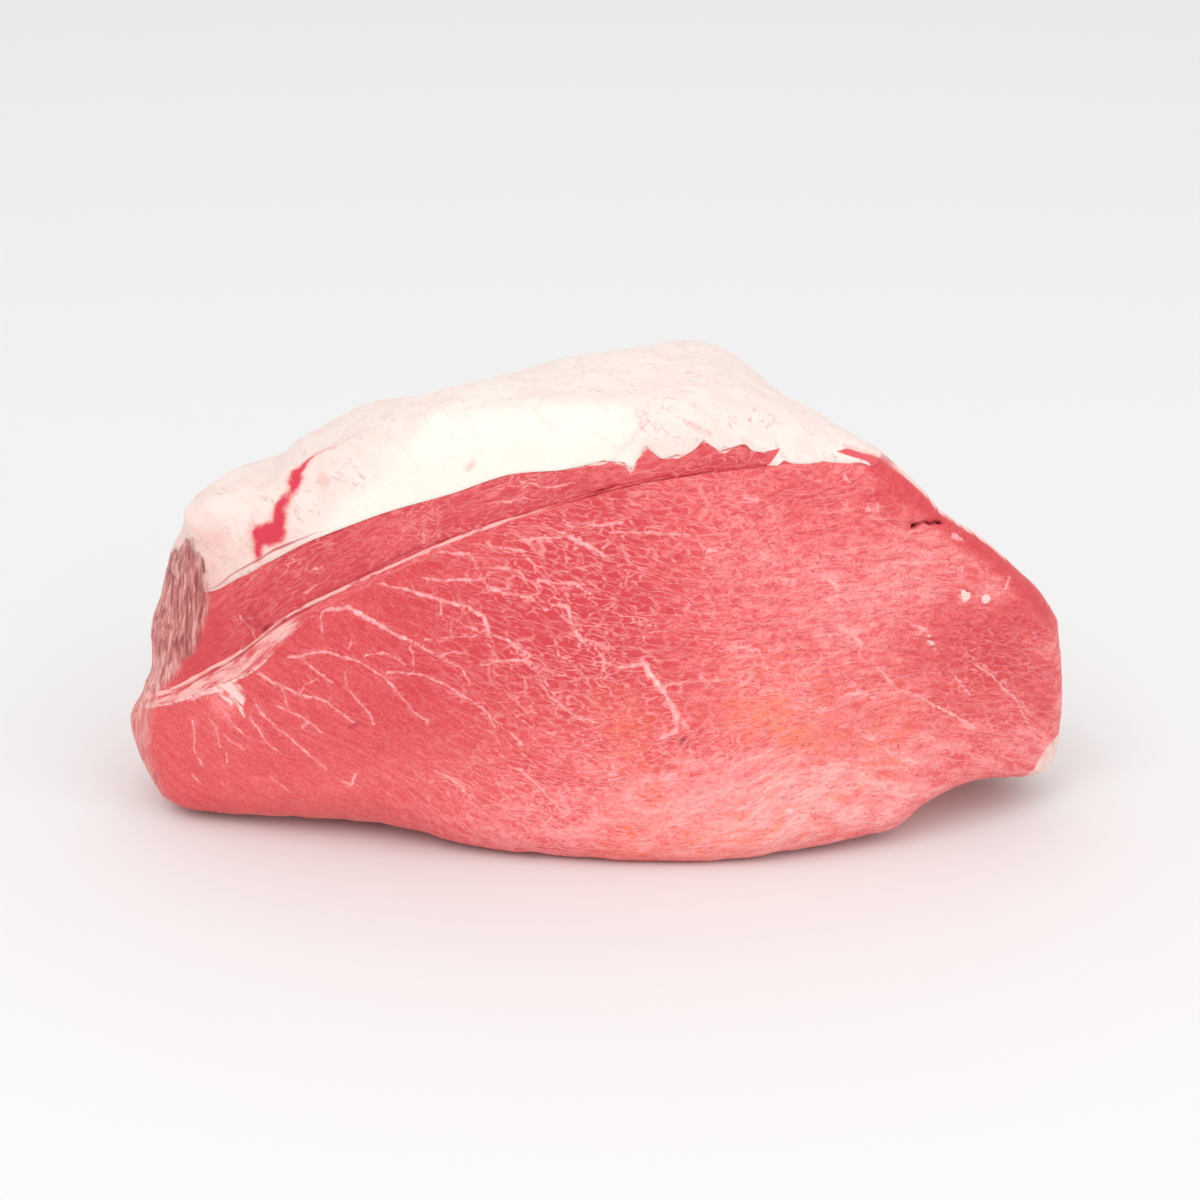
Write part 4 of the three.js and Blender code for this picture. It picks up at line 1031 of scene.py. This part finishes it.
def capFields(piece):
    # as for the main muscle, with fibres along the layer and a dried left end
    x, z, y = piece.x, piece.z, piece.points[:, 1]
    spot = np.stack([x, z, y * 0.5], -1)
    nearSeam, nearFat = toLines(x, z, seamUpper), toLines(x, z, fatUnder)
    toOutline = toLines(x, z, outline)
    # fibres follow the layer
    grain = np.stack([x * grainStretch + 2 * noise(spot, 20, 41) + 0.1 * y,
                      nearSeam * 1.1 + 0.05 * x + 0.05 * y, 0 * x], -1)
    face = 1 - ease(piece.back, 0.05, 0.25)
    wall = 1 - ease(toOutline, 0.3, 2.5)
    dry = driedSkin(piece)
    tone = 0.25 + 0.2 * noise(spot, 18, 45, 3) + patches(piece, capBrowns) * face
    # painted shade along the seam: the cap muscle is darker within a few mm of it
    tone = tone - 0.25 * (1 - ease(nearSeam, 1, 6)) * ease(x, -95, -70)
    vein, offset, clear = strokes(x, z, capVeins, piece.seenAt, 0.5, 0.5, 80)
    vein = mix(-3.0, vein, face)
    deep, dark = foldFields(piece, capFolds, face)
    crease = 1 - ease(np.abs(noise(grain[:, :2], 3.2, 47, 2)), 0.02, 0.2)
    crease = crease * ease(noise(spot, 12, 48, 2), -0.4, 0.4)
    age, wrinkles = driedFields(piece, dry)
    borders = groove(nearSeam, 1.0, 0.35) + groove(nearFat, 0.9, 0.3)
    relief = (lumps(piece) + 0.14 * noise(grain, 2.6, 50, 2) - 0.3 * crease + deep
              + borders * (1 - wall) + 0.1 * ease(vein, -0.3, 0.5)) * (1 - dry) + wrinkles
    fatty = (0.4 + 0.5 * ease(noise(spot, 9, 52), -0.2, 0.5)) * ease(x, -112, -92)
    fringe = (1 - ease(nearFat + 1.1 * noise(np.stack([x, y], -1), 3, 54, 3), 0.0, 0.5)) * ease(x, -8, 0)
    film = 0.5 * wall * (1 - dry) * ease(piece.back, 0.3, 0.7) + 3 * fringe * (1 - wall)
    return relief, dict(grain=grain, tone=tone, warm=0 * x, vein=vein, clear=clear, offset=offset, shadedFold=dark,
                        fatty=fatty, fibre=0.75 + 0 * x, film=film, dry=np.clip(dry, 0, 1), age=age)


capMeat = meatMaterial("moist cut raw beef cap muscle with dried end", capLook)
makePiece("capMuscle", cap, *capFields(cap), capMeat, "cap_meat", "cap_muscle")


# connective seam
seamShape = dict(across=420, up=20, rings=40)
seamEnd = np.stack([seamLower[-1], seamUpper[-1]])
seam = Layer(seamLower, seamEnd, seamUpper, drawn(lines["seamLeft"]), **seamShape)


def seamFields(piece):
    # relief in mm and what the meat material reads, from the distances to the two muscles
    x, z, y = piece.x, piece.z, piece.points[:, 1]
    spot = np.stack([x, z, y * 0.5], -1)
    nearCap, nearMain = toLines(x, z, seamUpper), toLines(x, z, seamLower)
    wide = nearCap + nearMain
    run = np.stack([x, y * 0.5], -1)
    waver = 0.4 * noise(run, 5, 62, 4)
    fresh = 1 - ease(piece.back, 0.06, 0.2)
    # a thin pale line under the cap muscle, a broad pale sheet below it at the left, and from the middle to the
    # right only a crease darkened with painted shade, with lean on both sides
    line = (1 - ease(np.abs(nearCap - 0.3 - waver), 0.2, 0.6)) * (1 - ease(x, -26, -8))
    line = line * (0.6 + 0.6 * ease(noise(run, 7, 67, 3), -0.5, 0.3))
    sheet = ease(nearCap + 1.6 * waver, 1.1, 1.6) * (1 - ease(x + 9 * waver, -90, -76))
    sheet = sheet * (0.8 + 0.5 * noise(spot, 6, 64, 2))
    # a narrow gap under the cap muscle at the left, sunk and darkened with painted shade
    gap = (1 - ease(np.abs(nearCap - 0.95 - waver), 0.1, 0.45)) * (1 - ease(x, -78, -62)) * ease(x, -118, -108)
    crease = (1 - ease(np.abs(nearCap - 0.45 * wide - waver), 0.05, 0.35)) * ease(x, -30, -4)
    film = mix(0.8 + 0.8 * noise(spot, 9, 63, 2), np.maximum(2.4 * line, 1.7 * sheet), fresh)
    dry = driedSkin(piece) * (0.9 - 0.4 * line)
    age, wrinkles = driedFields(piece, dry)
    relief = lumps(piece) + 0.15 * line + 0.2 * noise(spot, 3, 65, 2) * ease(wide, 2, 4)
    relief = relief - 0.3 * gap - 0.5 * crease
    values = dict(grain=np.stack([0.3 * x + 0.1 * y, 1.5 * nearCap + 0.1 * y, 0 * x], -1),
                  tone=0.2 + 0.2 * noise(spot, 12, 68, 2), warm=0 * x, vein=-3 + 0 * x, clear=0 * x,
                  offset=np.full((len(x), 3), (9.0, 9.0, 0.0)),
                  shadedFold=np.clip(0.4 * gap + 0.45 * crease * (0.55 + 0.5 * noise(spot, 8, 66, 2)), 0, 1) * fresh,
                  fatty=0.6 + 0 * x, fibre=0.6 + 0 * x, film=film, dry=dry, age=age)
    return relief * (1 - dry) + wrinkles, values


seamTissue = meatMaterial("moist connective tissue with lean in it", dict(meatLook, film="#f5b8b3"))
makePiece("connectiveSeam", seam, *seamFields(seam), seamTissue, "connective_tissue", "connective_seam")


# fat cap
fatShape = dict(across=320, up=56, rings=80, crowd=0.35)
fatBottom = chain(fatUnder, capRight[::-1], fatTail)
fat = Layer(fatBottom, drawn(lines["fatRight"]), drawn(lines["fatTop"]), drawn(lines["fatLeft"]), **fatShape)
# strokes on the fat: pixels of the photograph, half widths in mm
bloodStreaks = [
    dict(at=[(316, 455), (306, 462), (297, 472), (295, 482), (294, 490), (287, 500), (282, 512), (278, 524)],
         half=(0.0, 1.0, 1.5, 1.5, 0.5, 0.7, 1.4, 1.6)),
    dict(at=[(278, 524), (276, 532), (268, 536), (260, 536)], half=(1.6, 2.4, 2.6, 2.2)),
    dict(at=[(262, 541), (258, 548), (257, 556)], half=(1.6, 0.8, 0.2)),
    dict(at=[(316, 455), (328, 450), (344, 444), (356, 436)], half=(0.0, -0.6, -0.9)),
]
# the gap over the strip of membrane at the fat's lower edge, a lean line darkened with painted shade: its
# height above that edge and half its width in mm, along x
fatGap = dict(above=[(-106, 0.9), (-102, 1.7), (-96, 2.1), (-88, 2.0), (-80, 1.5), (-70, 1.2)],
              half=[(-106, 0.0), (-103, 0.15), (-97, 0.3), (-90, 0.4), (-84, 0.3), (-78, 0.15), (-70, -0.4)])
# the slit between the fat's cut edge and the dried skin, a groove darkened with painted shadow
fatSlits = [dict(at=[(198, 552), (202, 560), (204, 572), (205, 582)], half=(-0.2, 0.15, 0.1, -0.3))]
# lean patches in the front of the fat, by section points: the pointed end of the cap muscle and the wedge at
# the far right under the thin outer strip
leanPatches = [
    [(44.0, 111.6), (44.0, 115.1), (47.9, 115.5), (46.6, 113.6), (45.0, 111.9)],
    [(63.4, 113.0), (66.3, 113.0), (69.7, 111.7), (73.1, 110.4), (77.5, 107.5), (73.4, 107.4), (72.9, 108.1),
     (71.6, 109.3), (69.6, 110.3), (67.2, 111.3), (65.0, 112.2)],
]
fatPinks = [
    dict(at=[(222, 516), (236, 524), (240, 536), (230, 547), (218, 540), (216, 526)],
         half=(0.3, 0.3), strength=0.4),
    dict(at=[(320, 480), (324, 484)], half=(1.6, 1.4), strength=0.6),
    dict(at=[(466, 466), (470, 463)], half=(0.3, 0.3), strength=0.8),
    dict(at=[(536, 410), (548, 424), (562, 438)], half=(0.0, 0.3, -0.3), strength=0.4),
    dict(at=[(614, 465), (622, 450), (634, 440), (641, 425), (640, 412)], half=(-0.2, 0.2, -0.2), strength=0.5),
    dict(at=[(688, 424), (700, 430), (712, 436)], half=(0.4, 1.0, 0.2), strength=0.5),
    dict(at=[(742, 438), (750, 446)], half=(0.3, 0.5), strength=0.4),
    dict(at=[(680, 392), (695, 405), (712, 418)], half=(-0.2, 0.1, -0.3), strength=0.4),
    dict(at=[(513, 398), (524, 401)], half=(0.0, 0.0), strength=0.5),
    dict(at=[(776, 408), (800, 412), (822, 422)], half=(-0.2, 0.2, -0.2), strength=0.35),
    dict(at=[(708, 352), (718, 353)], half=(0.3, 0.0), strength=0.5),
    dict(at=[(845, 445), (862, 452), (874, 462)], half=(0.5, 1.0), strength=0.9),
]


def insideOf(x, z, corners):
    # distance in mm to the edge of a polygon, positive inside it
    loop = np.array(corners + corners[:1], float)
    inside = np.zeros(x.shape, bool)
    for (ax, az), (bx, bz) in zip(loop[:-1], loop[1:]):
        crossed = (az > z) != (bz > z)
        inside ^= crossed & (x < (bx - ax) * (z - az) / np.where(bz == az, 1e-9, bz - az) + ax)
    return toLines(x, z, loop) * np.where(inside, 1, -1)


def nearStroke(points, stroke, seen):
    # half width less the distance to a stroke, measured in space, for strokes that run over a rounded edge
    at, half = seen(stroke["at"])[1], stroke["half"]
    wide = np.interp(np.linspace(0, 1, len(at)), np.linspace(0, 1, len(half)), half)
    best = np.full(len(points), -6.0)
    for a, b, wa, wb in zip(at[:-1], at[1:], wide[:-1], wide[1:]):
        run = b - a
        t = np.clip((points - a) @ run / (run @ run + 1e-9), 0, 1)
        best = np.maximum(best, wa + (wb - wa) * t - np.linalg.norm(points - a - t[:, None] * run, axis=1))
    return best


def fatFields(piece):
    # relief in mm and what the fat material reads, from the strokes above, noise and the photograph's view
    x, z, y, spot = piece.x, piece.z, piece.points[:, 1], piece.points
    nearUnder = toLines(x, z, fatBottom)
    wobble = np.stack([noise(spot, 5, 90 + k, 3) for k in range(3)], -1) * 0.9
    blood = np.max([nearStroke(spot + wobble, s, piece.seenAt) for s in bloodStreaks], axis=0)
    pink = np.zeros(len(x))
    for stroke in fatPinks:
        near = nearStroke(spot + wobble * 1.4, stroke, piece.seenAt)
        pink = np.maximum(pink, stroke["strength"] * ease(near, -1.3, 0.7))
    px, py = photoPixel(spot).T
    creamTop = np.interp(px, [300, 370, 440, 545, 620, 660], [530, 478, 412, 402, 408, 450])
    ragged = 16 * noise(spot, 14, 95, 3)
    skin = 1 - (ease(py + ragged, creamTop - 22, creamTop + 22) * (piece.back < 0.4)
                * ease(px + ragged, 290, 340) * (1 - ease(px + ragged, 610, 670)))
    lean = np.max([insideOf(x, z, corners) for corners in leanPatches], axis=0)
    bites = 1.2 * noise(np.stack([x, y], -1), 3.5, 102, 3) - nearUnder - 3 * (1 - ease(x, -12, 2))
    lean = np.clip(np.where(piece.share > 0.001, -3, np.maximum(lean, bites)), -3, 3)
    aboveEdge = nearUnder - along(fatGap["above"], x) + 0.35 * noise(np.stack([x, y], -1), 4, 96, 3)
    half = along(fatGap["half"], x) * (0.8 + 0.8 * noise(np.stack([x, y], -1), 5, 101, 2))
    offset = np.stack([aboveEdge, 0 * x, half], -1)
    vein = np.where((piece.back > 0.12) | (x > -70), -3, half - np.abs(aboveEdge))
    dry = driedSkin(piece)
    age, wrinkles = driedFields(piece, dry)
    flush = (0.52 - 0.25 * ease(x, -100, -75)) * (1 - ease(x, -86, -55)) * (1 - 0.65 * ease(z, 82, 92))
    pink = np.maximum(pink, flush * (1 + noise(spot, 7, 97, 2)))
    slit = np.max([nearStroke(spot, s, piece.seenAt) for s in fatSlits], axis=0)
    curds = 0.30 * noise(spot, 3.4, 98, 2) * skin
    relief = (0.9 * noise(spot, 15, 99, 2) + 0.45 * noise(spot, 6.5, 100, 2) * skin + curds * 0.6
              + 0.25 - 0.5 * ease(pink, 0.2, 0.8) + groove(nearUnder, 1.0, 0.35)) * (1 - dry) + wrinkles
    relief = relief - 0.3 * ease(slit, -0.9, 0.3)
    return relief, dict(skin=skin, blood=np.clip(blood, -6, 3), pink=np.clip(pink, 0, 1),
                        thread=0.2 + 0.5 * skin, dry=np.clip(dry, 0, 1), age=age, lean=lean, vein=vein,
                        offset=offset, shadedFold=0.9 * ease(slit, -0.7, 0.2))


hardFat = fatMaterial("hard beef fat", fatLook)
makePiece("fatCap", fat, *fatFields(fat), hardFat, "hard_fat", "fat_cap")


# fat corner
cornerShape = dict(across=60, up=28, rings=40)
innerLine = drawn([(118.9, 9.9)] + lines["cornerInner"][1:-1] + [(130.1, 20.3)])
cornerStart = np.stack([drawn(lines["cornerOuter"])[0], innerLine[0]])
cornerEnd = np.stack([drawn(lines["cornerOuter"])[-1], innerLine[-1]])
corner = Layer(drawn(lines["cornerOuter"]), cornerEnd, innerLine, cornerStart, **cornerShape)


def cornerFields(piece):
    # relief in mm and what the fat material reads: lumpy, with blood in spots and along the lean
    x, z, y = piece.x, piece.z, piece.points[:, 1]
    spot = np.stack([x, z, y * 0.6], -1)
    bits = noise(spot, 4, 110, 3)
    relief = 0.6 * noise(spot, 6, 111, 3) + groove(toLines(x, z, innerLine), 1.2, 0.6)
    atLean = 2.2 * (1 - ease(toLines(x, z, innerLine), 0.2, 1.2)) - 2.6
    return relief, dict(skin=1 + 0 * x, blood=np.maximum(3.4 * bits - 2.2, atLean + bits),
                        pink=0.5 + 0.4 * bits, thread=1 + 0 * x, dry=0 * x, age=0 * x, shadedFold=0 * x,
                        lean=-3 + 0 * x, vein=-3 + 0 * x,
                        offset=np.full((len(x), 3), (9.0, 9.0, 0.0)))


softFat = fatMaterial("soft pinkish beef fat", dict(fatLook, blood="#dd5560"))
makePiece("fatCorner", corner, *cornerFields(corner), softFat, "soft_fat", "fat_corner")
